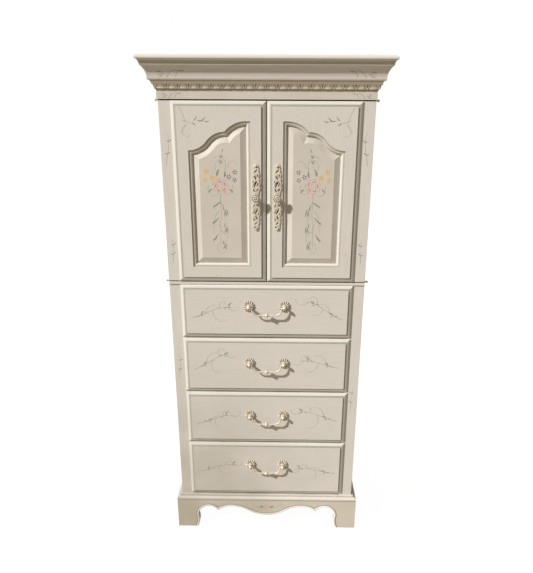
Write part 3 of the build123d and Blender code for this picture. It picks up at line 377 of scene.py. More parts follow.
LIP_FIELD_RISE = 3.3 * MM
SHELF_GAP = 1.7 * MM
LINE_SOFT = 0.25 * MM
DOOR_FIELD_Y = low("left_door_frame").y
DOOR_LEDGE_Y = DOOR_FIELD_Y + LIP_FIELD_RISE
DRAWER_FIELD_Y = low("drawer_1_front").y
DRAWER_LEDGE_Y = DRAWER_FIELD_Y + LIP_FIELD_RISE
PANEL_FIELD_Y = low("left_door_panel").y
POST_FACE_Y = low("left_door_post").y
STILE_FACE_Y = low("face_stile_left").y
FRIEZE_FACE_Y = low("frieze").y
BASE_FACE_Y = low("base_front").y
BASE_TOP_Z = high("base_front").z
CROWN_TOP_Z = high("crown_moulding").z
HALF_INSIDE = high("shelf").x + SHELF_GAP
HALF_CASE = high("right_side").x

moulding_line = [("Y", DOOR_LEDGE_Y - 0.1 * MM, DOOR_LEDGE_Y + 0.15 * MM, LINE_SOFT, SAGE, 0.88)]
# Bands on the crown: the sage line, then painted shade under it, low in the cove and on the upper step, and
# painted light on the lower step
crown_lines = [
    ("Z", CROWN_TOP_Z - foot * MM, CROWN_TOP_Z - top * MM, soft * MM, colour, share)
    for foot, top, soft, colour, share in (
        (12.5, 5.0, 1.2, SAGE, 0.88),
        (15.1, 13.2, 0.6, UMBER_GLAZE_AND_SHADE, 0.75),
        (54.0, 38.0, 6.0, UMBER_GLAZE_AND_SHADE, 0.1),
        (63.0, 54.2, 1.0, UMBER_GLAZE_AND_SHADE, 0.45),
        (75.0, 63.5, 1.0, IVORY_PAINTED_LIGHT, 0.9),
    )
]
apron_line = [("Z", BASE_TOP_Z - 5.5 * MM, BASE_TOP_Z + 1 * MM, 1.2 * MM, SAGE_LINE, 0.95)]


def finish(material, *names):
    """Give solids their material."""
    for name in names:
        nodes[name].data.materials.clear()
        nodes[name].data.materials.append(material)


drawer_fronts = [f"drawer_{k}_front" for k in DRAWERS]
drawer_boxes = [f"drawer_{k}_box" for k in DRAWERS]
dust_frames = [f"dust_frame_{k}" for k in DRAWERS]
door_frames = [f"{side}_door_{part}" for side in SIDES for part in ("post", "frame")]

paint_across = paint_material("ivory_paint_across", GRAIN_ACROSS)
finish(paint_across, "top_rail", "cornice_cap", "base_moulding", *drawer_fronts)
paint_upright = paint_material("ivory_paint_upright", GRAIN_UPRIGHT)
finish(paint_upright, "face_stile_left", "face_stile_right", *door_frames)
paint_sides = paint_material("ivory_paint_sides_wood_inside", GRAIN_UPRIGHT, inside=HALF_INSIDE)
finish(paint_sides, "left_side", "right_side")
paint_moulding = paint_material("ivory_paint_moulding_sage_line", GRAIN_UPRIGHT, moulding_line, glaze_and_shade=1.0)
finish(paint_moulding, "left_door_panel_moulding", "right_door_panel_moulding")
# Apron and base sides get the darker paint, painted shade low down
paint_apron = paint_material("ivory_paint_apron_sage_line", GRAIN_ACROSS, apron_line, colour=IVORY_LOW_SHADE)
finish(paint_apron, "base_front")
paint_deep = paint_material("ivory_paint_along_the_depth", GRAIN_DEEP, colour=IVORY_LOW_SHADE)
finish(paint_deep, "base_left", "base_right")
# Door panels and frieze get the darker paint, painted shade
paint_panel = paint_material("ivory_paint_panels", GRAIN_UPRIGHT, colour=IVORY_HALF_SHADE)
finish(paint_panel, "left_door_panel", "right_door_panel")
finish(paint_material("ivory_paint_frieze", GRAIN_ACROSS, colour=IVORY_HALF_SHADE), "frieze")
finish(paint_material("ivory_paint_crown_lines_and_painted_shade", GRAIN_ACROSS, crown_lines), "crown_moulding")
# Drawer rails painted darker as painted shade
finish(paint_material("painted_shade_drawer_rails", GRAIN_ACROSS, colour=IVORY_SHADED), *dust_frames)
finish(wood_material("stained_wood_inside", STAIN, GRAIN_ACROSS), "cabinet_floor", "top_panel", "shelf")
wood_plain = wood_material("plain_birch", BIRCH, GRAIN_DEEP)
finish(wood_plain, "drawer_guides", "corner_blocks", "base_back", "cornice_back", *drawer_boxes)
finish(wood_material("plain_birch_upright", BIRCH, GRAIN_UPRIGHT), "back_panel")
metal_hinge = metal_material("hinge_brass_ivory_tip", BRASS, 2 * MM, 0.0, ivory_beyond=HALF_CASE)
finish(metal_hinge, "case_hinge_leaves", "left_door_hinge_leaves", "right_door_hinge_leaves")
metal_steel = metal_material("bolt_steel", STEEL, 1 * MM, 1.0)
finish(metal_steel, "shelf_pins", "left_door_strike", "right_door_strike")
finish(metal_material("catch_plastic", PLASTIC, 1 * MM, 0.0, glaze_and_shade=SPECK_BROWN), "door_catches")

metal_ivory = metal_material("antiqued_ivory_metal_with_painted_shade", METAL_IVORY, 4 * MM, 0.15)
# Carving and apron bead carry painted light in their lighter paint
paint_carved = paint_material("ivory_paint_carving", GRAIN_ACROSS, glaze_and_shade=0.3, colour=IVORY_PAINTED_LIGHT)
paint_bead = paint_material("ivory_paint_apron_bead", GRAIN_ACROSS, glaze_and_shade=0.2, colour=IVORY_PAINTED_LIGHT)
sage_line = stroke_material("sage_line_paint", SAGE_LINE, 0.3)
mauve_line = stroke_material("mauve_line_paint", MAUVE, 0.3)


# Modelling helpers
# Painted shade in the flutes' grooves, strongest towards the rim
FLUTE_SHADE = 0.95
FLUTE_SHADE_FADE = 0.6


def only(piece):
    """Make one object the selected and active one."""
    bpy.ops.object.select_all(action="DESELECT")
    piece.select_set(True)
    bpy.context.view_layer.objects.active = piece


def linked(name, data):
    """New object in the scene, selected."""
    piece = bpy.data.objects.new(name, data)
    scene.collection.objects.link(piece)
    only(piece)
    return piece


def open_all(piece):
    """Open a mesh for editing with all of it selected."""
    only(piece)
    bpy.ops.object.mode_set(mode="EDIT")
    bpy.ops.mesh.select_all(action="SELECT")


def joined(pieces):
    """Join objects into the first of them."""
    only(pieces[0])
    for piece in pieces[1:]:
        piece.select_set(True)
    bpy.ops.object.join()
    return pieces[0]


def copied(piece, move=(0, 0, 0), turn=0.0, flip=False):
    """Copy with its own mesh, turned about Z, mirrored in X if asked, then moved."""
    only(piece)
    bpy.ops.object.duplicate()
    twin = bpy.context.object
    if flip:
        bpy.ops.transform.mirror(constraint_axis=(True, False, False), center_override=(0, 0, 0))
    twin.rotation_euler.z = radians(turn)
    twin.location = twin.location + Vector(move)
    bpy.ops.object.transform_apply()
    if flip:
        recalculated(twin)
    return twin


def recalculated(piece):
    """Merge doubled points and turn every face outward."""
    open_all(piece)
    bpy.ops.mesh.remove_doubles(threshold=1e-6)
    bpy.ops.mesh.normals_make_consistent(inside=False)
    bpy.ops.object.mode_set(mode="OBJECT")
    return piece


def dressed(piece, name, body, material=None, smooth=40):
    """Name a finished piece, give it its finish and the body that it moves with."""
    only(piece)
    bpy.ops.object.transform_apply()
    piece.name = name
    piece.data.name = name
    if material is not None:
        piece.data.materials.clear()
        piece.data.materials.append(material)
    bpy.ops.object.shade_smooth_by_angle(angle=radians(smooth))
    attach(piece, body)
    return piece


def turned(profile, steps):
    """Piece turned about Y from (radius, forward) points in millimetres."""
    mesh = bpy.data.meshes.new("turned")
    points = [(radius * MM, -forward * MM, 0) for radius, forward in profile]
    mesh.from_pydata(points, [(i, i + 1) for i in range(len(points) - 1)], [])
    piece = linked("turned", mesh)
    open_all(piece)
    bpy.ops.mesh.spin(steps=steps, angle=2 * pi, center=(0, 0, 0), axis=(0, 1, 0))
    bpy.ops.object.mode_set(mode="OBJECT")
    return recalculated(piece)


def groove_marks(piece):
    """New painted-shade marks of a mesh, one for each of its points."""
    return piece.data.attributes.new("groove", "FLOAT", "POINT").data


def fluted(piece, count, inner, outer, bite, ridge, dark_rings=()):
    """Scallop a turned rim, raise a rib on each flute, darken its grooves with painted shade and mark the
    given dark rings.
    """
    for vertex, mark in zip(piece.data.vertices, groove_marks(piece)):
        radius = hypot(vertex.co.x, vertex.co.z)
        share = min(1.0, max(0.0, (radius / MM - inner) / (outer - inner)))
        wave = cos(count * atan2(vertex.co.z, vertex.co.x))
        hollow = 0.5 - 0.5 * wave
        shrink = 1 - bite * share * hollow
        vertex.co.x *= shrink
        vertex.co.z *= shrink
        vertex.co.y -= ridge * MM * share * wave * min(1.0, -vertex.co.y / MM / ridge / 2)
        rings = [depth for first, last, depth in dark_rings if first <= radius / MM <= last]
        mark.value = max(rings + [FLUTE_SHADE * share**FLUTE_SHADE_FADE * hollow])
    return piece


def tube(strokes, sides, materials=()):
    """One mesh of tapered tubes from strokes of (points, radii, material number) in metres."""
    curve = bpy.data.curves.new("tube", "CURVE")
    curve.dimensions = "3D"
    curve.bevel_depth = 1.0
    curve.bevel_resolution = sides
    curve.use_fill_caps = True
    for material in materials:
        curve.materials.append(material)
    for points, radii, paint in strokes:
        line = curve.splines.new("POLY")
        line.points.add(len(points) - 1)
        for knot, place, radius in zip(line.points, points, radii):
            knot.co = (*place, 1.0)
            knot.radius = radius
        line.material_index = paint
    linked("tube", curve)
    bpy.ops.object.convert(target="MESH")
    return recalculated(bpy.context.object)


def pressed(piece, surface, share):
    """Flatten a piece against a surface, given as depth by height."""
    for vertex in piece.data.vertices:
        ground = surface(vertex.co.z)
        vertex.co.y = ground + (vertex.co.y - ground) * share
    return piece


def rounded_path(corners, radii, steps):
    """Path through (x, z) corners with each inner corner replaced by an arc."""
    path = [Vector(corners[0])]
    for before, corner, after, radius in zip(corners, corners[1:], corners[2:], radii):
        corner = Vector(corner)
        into = (Vector(before) - corner).normalized()
        out = (Vector(after) - corner).normalized()
        half = into.angle(out) / 2
        middle = corner + (into + out).normalized() * radius / sin(half)
        first = corner + into * radius / tan(half) - middle
        last = corner + out * radius / tan(half) - middle
        turn = first.angle_signed(last)
        for step in range(steps + 1):
            path.append(middle + Matrix.Rotation(-turn * step / steps, 2) @ first)
    path.append(Vector(corners[-1]))
    return path


# Drawer pulls
POST_PROFILE = (
    (0, 26.5), (2.5, 26.0), (4.6, 24.6), (6.0, 22.5), (6.5, 20), (6.0, 17.6), (4.7, 15.6), (4.1, 13.6),
    (3.7, 11.2), (4.4, 9.8), (6.4, 9.4), (7.6, 8.6), (7.8, 7.4), (9.2, 6.3), (11, 6.6), (14, 6.2),
    (17, 5.0), (19.4, 3.4), (21, 1.8), (21.6, 0.6), (21.2, 0), (0, 0),
)
BOLT_PROFILE = [(0, 2.5), (2.4, 2.3), (3.8, 1.5), (4.5, 0.4), (4.5, 0), (0, 0)]
BOLT_HEAD_THICK = 2.5 * MM
ROSETTE_REACH = 21.5 * MM
BAIL_RADIUS = 2.8 * MM
BAIL_PIN_RADIUS = 2.35 * MM
BAIL_PIN_DROP = 2.4 * MM
BAIL_ARM_INSET = 8.7 * MM
BAIL_ARM_LEAN = 2.5 * MM
BAIL_BENDS = (4.5 * MM, 23 * MM, 23 * MM, 4.5 * MM)
BEAD_RADIUS = 8 * MM
BEAD_SQUASH = 0.85
COLLAR_RADIUS = 3.0 * MM
COLLARS = {-9.5: 1.3, -7.2: 1.9, 7.2: 1.9, 9.5: 1.3}

rosette = fluted(turned(POST_PROFILE, steps=112), count=14, inner=7.0, outer=15.0, bite=0.1, ridge=1.3)
bolt_head = turned(BOLT_PROFILE, steps=20)


def bail_piece(half_span, drop):
    """Bent rod with a beaded middle, drawn about its pivot line."""
    arm = half_span - BAIL_ARM_INSET
    bar = arm - BAIL_ARM_LEAN
    corners = [(-half_span, 0), (-arm, 0), (-bar, -drop), (bar, -drop), (arm, 0), (half_span, 0)]
    path = rounded_path(corners, BAIL_BENDS, steps=10)
    radii = [BAIL_PIN_RADIUS if abs(p.x) > arm - 1 * MM else BAIL_RADIUS for p in path]
    rod = tube([([(p.x, 0, p.y) for p in path], radii, 0)], sides=4)
    bpy.ops.mesh.primitive_uv_sphere_add(segments=24, ring_count=14, radius=BEAD_RADIUS)
    bead = bpy.context.object
    bead.location.z = -drop
    bead.rotation_euler.y = pi / 2
    bead.scale.z = BEAD_SQUASH
    parts = [rod, bead]
    for x, thick in COLLARS.items():
        bpy.ops.mesh.primitive_torus_add(
            major_segments=24, minor_segments=8, major_radius=COLLAR_RADIUS, minor_radius=thick * MM
        )
        collar = bpy.context.object
        collar.location = (x * MM, 0, -drop)
        collar.rotation_euler.y = pi / 2
        parts.append(collar)
    return joined(parts)


bail_height = high("drawer_1_bail").z - low("drawer_1_bail").z
bail = bail_piece(high("drawer_1_bail").x, bail_height - BAIL_PIN_DROP - BEAD_RADIUS)
for k in DRAWERS:
    bail_low, bail_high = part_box(f"drawer_{k}_bail")
    posts_high = high(f"drawer_{k}_pull_posts")
    pivot = Vector((0, (bail_low.y + bail_high.y) / 2, bail_high.z - BAIL_PIN_DROP))
    post_x = posts_high.x - ROSETTE_REACH
    rosettes = [copied(rosette, (x, DRAWER_FIELD_Y, pivot.z)) for x in (-post_x, post_x)]
    posts = dressed(joined(rosettes), f"drawer_{k}_rosettes", f"drawer_{k}", metal_ivory)
    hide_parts(f"drawer_{k}_pull_posts")
    back_y = posts_high.y - BOLT_HEAD_THICK
    heads = [copied(bolt_head, (x, back_y, pivot.z), turn=180) for x in (-post_x, post_x)]
    dressed(joined(heads), f"drawer_{k}_pull_bolts", f"drawer_{k}", metal_steel)
    hung = dressed(copied(bail, pivot), f"drawer_{k}_hanging_bail", f"bail_{k}", metal_ivory)
    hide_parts(f"drawer_{k}_bail")


# Strokes, in millimetres on a flat face, as (points, radii, paint)
GREEN_MARK, ROSE_MARK, DEEP_MARK, GOLD_MARK, LILAC_MARK, YELLOW_MARK = range(6)
STROKE_SWELL = 1.3
STROKE_TAPER = 0.55
STROKE_RELIEF = 0.1
LEAF_STEPS = 8
LEAF_TIP = 0.12
PETALS = 5
HEART = 0.2
HEART_EDGE = 0.12


def stepped(spot, heading, distance):
    """Spot a distance away along a heading in degrees."""
    angle = radians(heading)
    return spot[0] + distance * cos(angle), spot[1] + distance * sin(angle)


def tendril(start, heading, length, first_turn, last_turn, width=0.55, paint=GREEN_MARK, steps=16):
    """Thin line that leaves on a heading in degrees and bends from one rate of turn to another."""
    points = [start]
    for step in range(steps):
        share = (step + 0.5) / steps
        heading += (first_turn + (last_turn - first_turn) * share) / steps
        points.append(stepped(points[-1], heading, length / steps))
    radii = [STROKE_SWELL * width * (1.0 - STROKE_TAPER * i / steps) for i in range(steps + 1)]
    return points, radii, paint


def leaf(start, heading, length, width, bend=30, paint=GREEN_MARK):
    """Comma-shaped brush mark, thin at both ends."""
    points, _, _ = tendril(start, heading, length, bend, bend, steps=LEAF_STEPS)
    swells = [sin(pi * (i / LEAF_STEPS) ** 0.75) for i in range(LEAF_STEPS + 1)]
    return points, [width * (LEAF_TIP + (1 - LEAF_TIP) * swell) for swell in swells], paint


def blossom(centre, radius, turn, petal_paint, heart_paint, fullness=0.34):
    """Open flower with round petals and a dot at its heart."""
    marks = []
    for petal in range(PETALS):
        heading = turn + 360 * petal / PETALS
        start = stepped(centre, heading, HEART * radius)
        marks.append(leaf(start, heading - 8, (1 - HEART) * radius, fullness * radius, 16, petal_paint))
    edge = HEART_EDGE * radius
    dot = [(centre[0] - edge, centre[1]), centre, (centre[0] + edge, centre[1])]
    marks.append((dot, [edge, HEART * radius, edge], heart_paint))
    return marks


def sprig(start, heading, length, leaf_length, leaf_width):
    """Slim stem with two pairs of leaves, ending in a single one."""
    stem = tendril(start, heading, length, 18, -40, 0.5)
    points = stem[0]
    marks = [stem, leaf(points[-1], heading - 15, leaf_length, leaf_width, 10)]
    for knot, share in ((4, 1.0), (10, 0.88)):
        (x, z), (ahead_x, ahead_z) = points[knot : knot + 2]
        way = degrees(atan2(ahead_z - z, ahead_x - x))
        for lean, bend in ((38, -35), (-38, 35)):
            marks.append(leaf((x, z), way + lean, share * leaf_length, leaf_width, bend))
    return marks


def changed(marks, change):
    """Marks with every point carried elsewhere."""
    return [([change(x, z) for x, z in points], radii, paint) for points, radii, paint in marks]


def flipped(marks):
    """The same marks on the other side of the middle."""
    return changed(marks, lambda x, z: (-x, z))


SPRAY_PAINTS = [
    stroke_material(f"{name}_paint", srgb(*levels), streak)
    for name, levels, streak in (
        ("leaf_green", (114, 122, 110), 0.35),
        ("rose", (208, 146, 142), 0.4),
        ("deep_rose", (180, 96, 100), 0.3),
        ("gold", (216, 172, 82), 0.35),
        ("lilac", (112, 102, 130), 0.35),
        ("yellow", (230, 200, 96), 0.1),
    )
]


def laid(marks, surface):
    """Marks as strokes in metres, on a surface given as depth by height."""
    strokes = []
    for points, radii, paint in marks:
        spots = [(x * MM, surface(z * MM), z * MM) for x, z in points]
        strokes.append((spots, [radius * MM for radius in radii], paint))
    return strokes


def painted(name, body, marks, surface):
    """Lay marks on a surface as one thin piece."""
    spray = tube(laid(marks, surface), sides=1, materials=SPRAY_PAINTS)
    dressed(pressed(spray, surface, STROKE_RELIEF), name, body)


# Door pulls, drawn in millimetres about the knob
KNOB_PROFILE = (
    (0, 25.0), (1.7, 24.8), (2.6, 23.9), (3.6, 23.3), (5.0, 23.4), (6.4, 24.3), (7.8, 24.5), (9.2, 23.7),
    (10.2, 22.5), (11.2, 22.9), (12.5, 22.6), (13.8, 21.6), (15.2, 19.6), (15.5, 17.8), (13.8, 16.2),
    (9.6, 15.2), (6.6, 14.2), (5.6, 11.5), (5.2, 7.5), (6.4, 5.6), (8.6, 4.6), (9.4, 3.2), (9.0, 1.0),
    (8.0, 0.2), (0, 0.2),
)
KNOB_DARK_RINGS = ((2.8, 5.6, 0.75), (9.8, 10.6, 1.0))
PLATE_WIDTHS = (
    (0, 11), (15, 10.5), (30, 14.6), (46, 15.6), (62, 12.8), (78, 13), (94, 10.4), (104, 9.4), (110, 6.8),
    (113, 3.4), (114.4, 0.4),
)
PLATE_OPENINGS = [
    ((1.2, 99), 62, 8.5, 2.3, -60),
    ((-6, 85), 10, 14, 2.1, 60),
    ((-7, 72), -10, 16, 2.4, -95),
    ((5.6, 79), -82, 11, 1.7, 10),
    ((4, 56), 230, 24, 3.0, 30),
    ((8, 52), -95, 15, 2.0, -25),
    ((-9, 58), -88, 9, 1.6, 10),
    ((-8, 30), -75, 12, 2.0, 30),
    ((8, 32), -100, 12, 1.8, -20),
]
PLATE_RIBS = [
    ((-5, 92), 20, 13, 1.5, 50),
    ((-8, 77), 0, 16, 1.6, -80),
    ((8.6, 66), 110, 15, 1.4, 30),
    ((-1, 58), 215, 20, 1.7, 45),
    ((11.5, 54), -100, 18, 1.5, -25),
    ((-10, 46), -85, 14, 1.5, 20),
    ((3, 34), -110, 14, 1.5, 20),
]
PLATE_WAVE = 15.6
PLATE_WAVE_DEPTH = 0.16
PLATE_TIP = 0.3
PLATE_HALF_THICK = 1.6
PLATE_EDGE = 0.9
BACKING_INSET = 1.6
BACKING_HALF_THICK = 0.25
BACKING_EDGE = 0.1
BACKING_FORWARD = 0.35
BACKING_SHADE = 0.92
RIB_FORWARD = 3.0


def bead_mark(centre, radius):
    """Round bead drawn as one short swelling stroke."""
    angles = [pi * i / 6 for i in range(7)]
    points = [(centre[0], centre[1] - radius * cos(angle)) for angle in angles]
    return points, [max(0.08, radius * sin(angle)) for angle in angles], 0


def outlined(mark):
    """Closed outline of one brush-shaped mark."""
    points, radii, _ = mark
    path = [Vector(point) for point in points]
    ahead, behind = [], []
    for before, point, after, radius in zip(path[:1] + path, path, path[1:] + path[-1:], radii):
        along = (after - before).normalized()
        away = Vector((-along.y, along.x)) * radius
        ahead.append(point + away)
        behind.append(point - away)
    return ahead + behind[::-1]


def both_ends(marks):
    """Marks of the plate's upper end, and the same turned half round about the knob."""
    return marks + changed(marks, lambda x, z: (-x, -z))


def plate_half_width(z, side, inset):
    """Half width of the plate at a height, waved so that the two sides bulge by turns."""
    height = abs(z)
    for (z0, w0), (z1, w1) in zip(PLATE_WIDTHS, PLATE_WIDTHS[1:]):
        if height <= z1:
            share = (height - z0) / (z1 - z0)
            width = w0 + (w1 - w0) * (0.5 - 0.5 * cos(pi * share))
            break
    wave = 0.5 + 0.5 * cos(2 * pi * z / PLATE_WAVE + (pi if side * z > 0 else 0))
    return max(PLATE_TIP, width * (1 - PLATE_WAVE_DEPTH * wave) - inset)


def plate_outline(inset):
    """Outline of the plate in millimetres about the knob."""
    top = PLATE_WIDTHS[-1][0] - inset
    heights = [top * sin(pi * i / 220) for i in range(-110, 111)]
    right = [Vector((plate_half_width(z, 1, inset), z)) for z in heights]
    left = [Vector((-plate_half_width(z, -1, inset), z)) for z in reversed(heights)]
    return right + left


def cut_sheet(outlines, half_thick, edge):
    """Flat sheet with rounded edges; every outline after the first is cut through."""
    curve = bpy.data.curves.new("sheet", "CURVE")
    curve.dimensions = "2D"
    curve.fill_mode = "BOTH"
    curve.extrude = (half_thick - edge) * MM
    curve.bevel_depth = edge * MM
    curve.bevel_resolution = 2
    curve.offset = -edge * MM
    for outline in outlines:
        line = curve.splines.new("POLY")
        line.use_cyclic_u = True
        line.points.add(len(outline) - 1)
        for knot, place in zip(line.points, outline):
            knot.co = (place[0] * MM, place[1] * MM, 0.0, 1.0)
    linked("sheet", curve).rotation_euler.x = pi / 2
    bpy.ops.object.convert(target="MESH")
    bpy.ops.object.transform_apply()
    return recalculated(bpy.context.object)


def scroll_plate():
    """Pierced plate: comma-shaped openings, ribs beside them and a dark sheet behind them as painted shade.
    """
    openings = [outlined(mark) for mark in both_ends([leaf(*numbers) for numbers in PLATE_OPENINGS])]
    plate = cut_sheet([plate_outline(0)] + openings, PLATE_HALF_THICK, PLATE_EDGE)
    plate.location.y = -PLATE_HALF_THICK * MM
    # Dark sheet behind the openings, painted shade
    backing = cut_sheet([plate_outline(BACKING_INSET)], BACKING_HALF_THICK, BACKING_EDGE)
    backing.location.y = -BACKING_FORWARD * MM
    for mark in groove_marks(backing):
        mark.value = BACKING_SHADE
    ribs = both_ends([leaf(*numbers) for numbers in PLATE_RIBS] + [bead_mark((-1.0, 105.5), 4.0)])
    raised = tube(laid(ribs, lambda z: -RIB_FORWARD * MM), sides=3)
    whole = joined([plate, backing, raised])
    bpy.ops.object.transform_apply()
    return whole


plate_low, plate_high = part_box("left_door_pull_plate")
pull_x = (plate_low.x + plate_high.x) / 2
pull_z = (plate_low.z + plate_high.z) / 2
plate = scroll_plate()
knob = turned(KNOB_PROFILE, steps=120)
fluted(knob, count=14, inner=10.0, outer=13.0, bite=0.14, ridge=1.5, dark_rings=KNOB_DARK_RINGS)
for side, sign in SIDES.items():
    place = Vector((-sign * pull_x, DOOR_FIELD_Y, pull_z))
    fixed = dressed(copied(plate, place), f"{side}_scroll_plate", f"{side}_door", metal_ivory)
    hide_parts(f"{side}_door_pull_plate")
    held = dressed(copied(knob, place), f"{side}_petal_knob", f"{side}_door", metal_ivory)
    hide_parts(f"{side}_door_knob")
    place.y = high("left_door_knob").y - BOLT_HEAD_THICK
    dressed(copied(bolt_head, place, turn=180), f"{side}_knob_bolt", f"{side}_door", metal_steel)


# Carved egg-and-dart band
CARVED_FOOT_Z = low("carved_moulding").z
CARVED_HIGH = high("carved_moulding").z - CARVED_FOOT_Z
CARVED_REACH = FRIEZE_FACE_Y - low("carved_moulding").y
OVOLO_RADIUS = 24.17 * MM
HALF_FRIEZE = high("frieze").x
CARVE_DEPTH = 4.0
CARVED_INSET = 4 * MM
CARVED_FOOT = 0.2
FILLET_HEIGHT = 1.6
# Painted shade shares: the fillet under the band, the egg rims, the dart edges and the sunken ground
FILLET_SHADE = 0.85
EGG_HALF, EGG_TALL = 0.36, 1.1
EGG_FOOT, EGG_SWELL = 1.0, 3.0
EGG_RIM, EGG_RIM_SHADE = 0.84, 0.5
DART_FROM = 1.08
DART_SWELL = 3.6
DART_SHADE = 0.4
GROUND_HEIGHT, GROUND_SHADE = 0.3, 0.8
CARVED_BACK_GAP = 0.4 * MM
FRONT_UNITS = 20
SIDE_UNITS = 13


def carved_height(across, up):
    """Height in millimetres and share of painted shade; across runs from -0.5 to 0.5 and up from 0 to 1."""
    if up < CARVED_FOOT:
        return FILLET_HEIGHT, FILLET_SHADE * min(1.0, up / CARVED_FOOT * 4)
    rise = (up - CARVED_FOOT) / (1 - CARVED_FOOT)
    mound = (across / EGG_HALF) ** 2 + (rise / EGG_TALL) ** 2
    if mound < 1.0:
        rim = max(0.0, mound - EGG_RIM) / (1 - EGG_RIM)
        return EGG_FOOT + EGG_SWELL * sqrt(1.0 - mound), EGG_RIM_SHADE * rim
    dart_middle = 0.03 + 0.14 * rise
    from_dart = abs(0.5 - abs(across) - dart_middle) / (0.055 + 0.045 * rise)
    if from_dart < 1.0 and mound > DART_FROM:
        return GROUND_HEIGHT + DART_SWELL * cos(from_dart * pi / 2), DART_SHADE * from_dart**3
    return GROUND_HEIGHT, GROUND_SHADE


def carved_run(count, length, mitres):
    """Row of carved units facing the front, mitred at the stated ends."""
    pitch = length / count
    bpy.ops.mesh.primitive_grid_add(x_subdivisions=48, y_subdivisions=20, size=1)
    unit = bpy.context.object
    for vertex, mark in zip(unit.data.vertices, groove_marks(unit)):
        across = vertex.co.x
        up = vertex.co.y + 0.5
        reach = CARVED_REACH - OVOLO_RADIUS + sqrt(OVOLO_RADIUS**2 - ((1 - up) * CARVED_HIGH) ** 2)
        height, mark.value = carved_height(across, up)
        depth = (CARVE_DEPTH - height) * MM
        vertex.co = (across * pitch, depth - reach, CARVED_FOOT_Z + up * CARVED_HIGH)
    units = [copied(unit, ((i - (count - 1) / 2) * pitch, 0, 0)) for i in range(1, count)]
    unit.location.x = -(count - 1) / 2 * pitch
    run = recalculated(joined([unit] + units))
    bpy.ops.object.transform_apply()
    bpy.ops.object.mode_set(mode="EDIT")
    bpy.ops.mesh.select_all(action="DESELECT")
    bpy.ops.mesh.select_mode(type="EDGE")
    bpy.ops.mesh.select_non_manifold()
    bpy.ops.mesh.extrude_edges_move()
    bpy.ops.transform.resize(value=(1, 0, 1), center_override=(0, CARVED_INSET, 0))
    bpy.ops.transform.translate(value=(0, CARVED_INSET, 0))
    bpy.ops.mesh.edge_face_add()
    bpy.ops.object.mode_set(mode="OBJECT")
    for vertex in run.data.vertices:
        for end in mitres:
            share = max(0.0, 1 - (length / 2 - end * vertex.co.x) / (pitch / 2))
            vertex.co.x -= end * share * vertex.co.y
    return recalculated(run)


side_length = high("carved_moulding").y - FRIEZE_FACE_Y - CARVED_BACK_GAP
front_run = carved_run(FRONT_UNITS, 2 * HALF_FRIEZE, (-1, 1))
front_run.location.y = FRIEZE_FACE_Y
side_run = carved_run(SIDE_UNITS, side_length, (-1,))
right_run = copied(side_run, (HALF_FRIEZE, FRIEZE_FACE_Y + side_length / 2, 0), turn=90)
left_run = copied(right_run, flip=True)
bpy.data.objects.remove(side_run)
carved = joined([front_run, right_run, left_run])
dressed(carved, "egg_and_dart_band", "case", paint_carved, smooth=30)
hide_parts("carved_moulding")


# Bead and mauve line along the scalloped apron
HALF_BASE = high("base_front").x
FACE_SLACK = 0.05 * MM
END_MARGIN = 20 * MM
TOP_MARGIN = 10 * MM
FLOOR_MARGIN = 1 * MM


def apron_edge():
    """Points of the apron's cut edge on its front face, from left to right."""
    only(nodes["base_front"])
    bpy.ops.object.duplicate()
    apron = recalculated(bpy.context.object)
    mesh = apron.data
    faces_of = {}
    for face in mesh.polygons:
        for key in face.edge_keys:
            faces_of.setdefault(key, []).append(face.normal)
    links = {}
    for key, normals in faces_of.items():
        ends = [apron.matrix_world @ mesh.vertices[i].co for i in key]
        on_face = all(abs(end.y - BASE_FACE_Y) < FACE_SLACK for end in ends)
        inside = all(abs(end.x) < HALF_BASE - END_MARGIN and end.z < BASE_TOP_Z - TOP_MARGIN for end in ends)
        off_floor = max(end.z for end in ends) >= FLOOR_MARGIN
        if on_face and inside and off_floor and len(normals) > 1 and abs(normals[0].dot(normals[1])) < 0.5:
            links.setdefault(key[0], []).append(key[1])
            links.setdefault(key[1], []).append(key[0])
    here = min((i for i in links if len(links[i]) == 1), key=lambda i: mesh.vertices[i].co.x)
    order = [here]
    while onward := [i for i in links[order[-1]] if i not in order]:
        order.append(onward[0])
    path = [apron.matrix_world @ mesh.vertices[i].co for i in order]
    bpy.data.objects.remove(apron)
    return [Vector((p.x, p.z)) for p in path]


def set_in(path, distance):
    """Path moved to its left by a distance, with its corners kept."""
    ways = [(after - before).normalized() for before, after in zip(path, path[1:])]
    shifted = []
    for point, before, after in zip(path, ways[:1] + ways, ways + ways[-1:]):
        along = (before + after).normalized()
        away = Vector((-along.y, along.x))
        shifted.append(point + away * distance / max(0.5, along.dot(after)))
    return shifted


cut_edge = apron_edge()


def apron_strip(name, distance, radius, share, material):
    """Half-round strip along the apron's cut edge."""
    path = set_in(cut_edge, distance)
    strip = tube([([(p.x, BASE_FACE_Y, p.y) for p in path], [radius] * len(path), 0)], sides=3)
    pressed(strip, lambda z: BASE_FACE_Y, share)
    dressed(strip, name, "case", material)


apron_strip("apron_bead", distance=3.7 * MM, radius=3.6 * MM, share=0.45, material=paint_bead)
apron_strip("apron_mauve_line", distance=8.8 * MM, radius=1.7 * MM, share=0.1, material=mauve_line)


# Sage line round each front, on the swell of its lip
LIP_LEDGE = 17.0 * MM
LIP_ARC = 26.4 * MM
SAGE_OUTER = 10.4 * MM
SAGE_INNER = 16.9 * MM
SAGE_LIFT = 0.15 * MM
SAGE_STEPS = 4


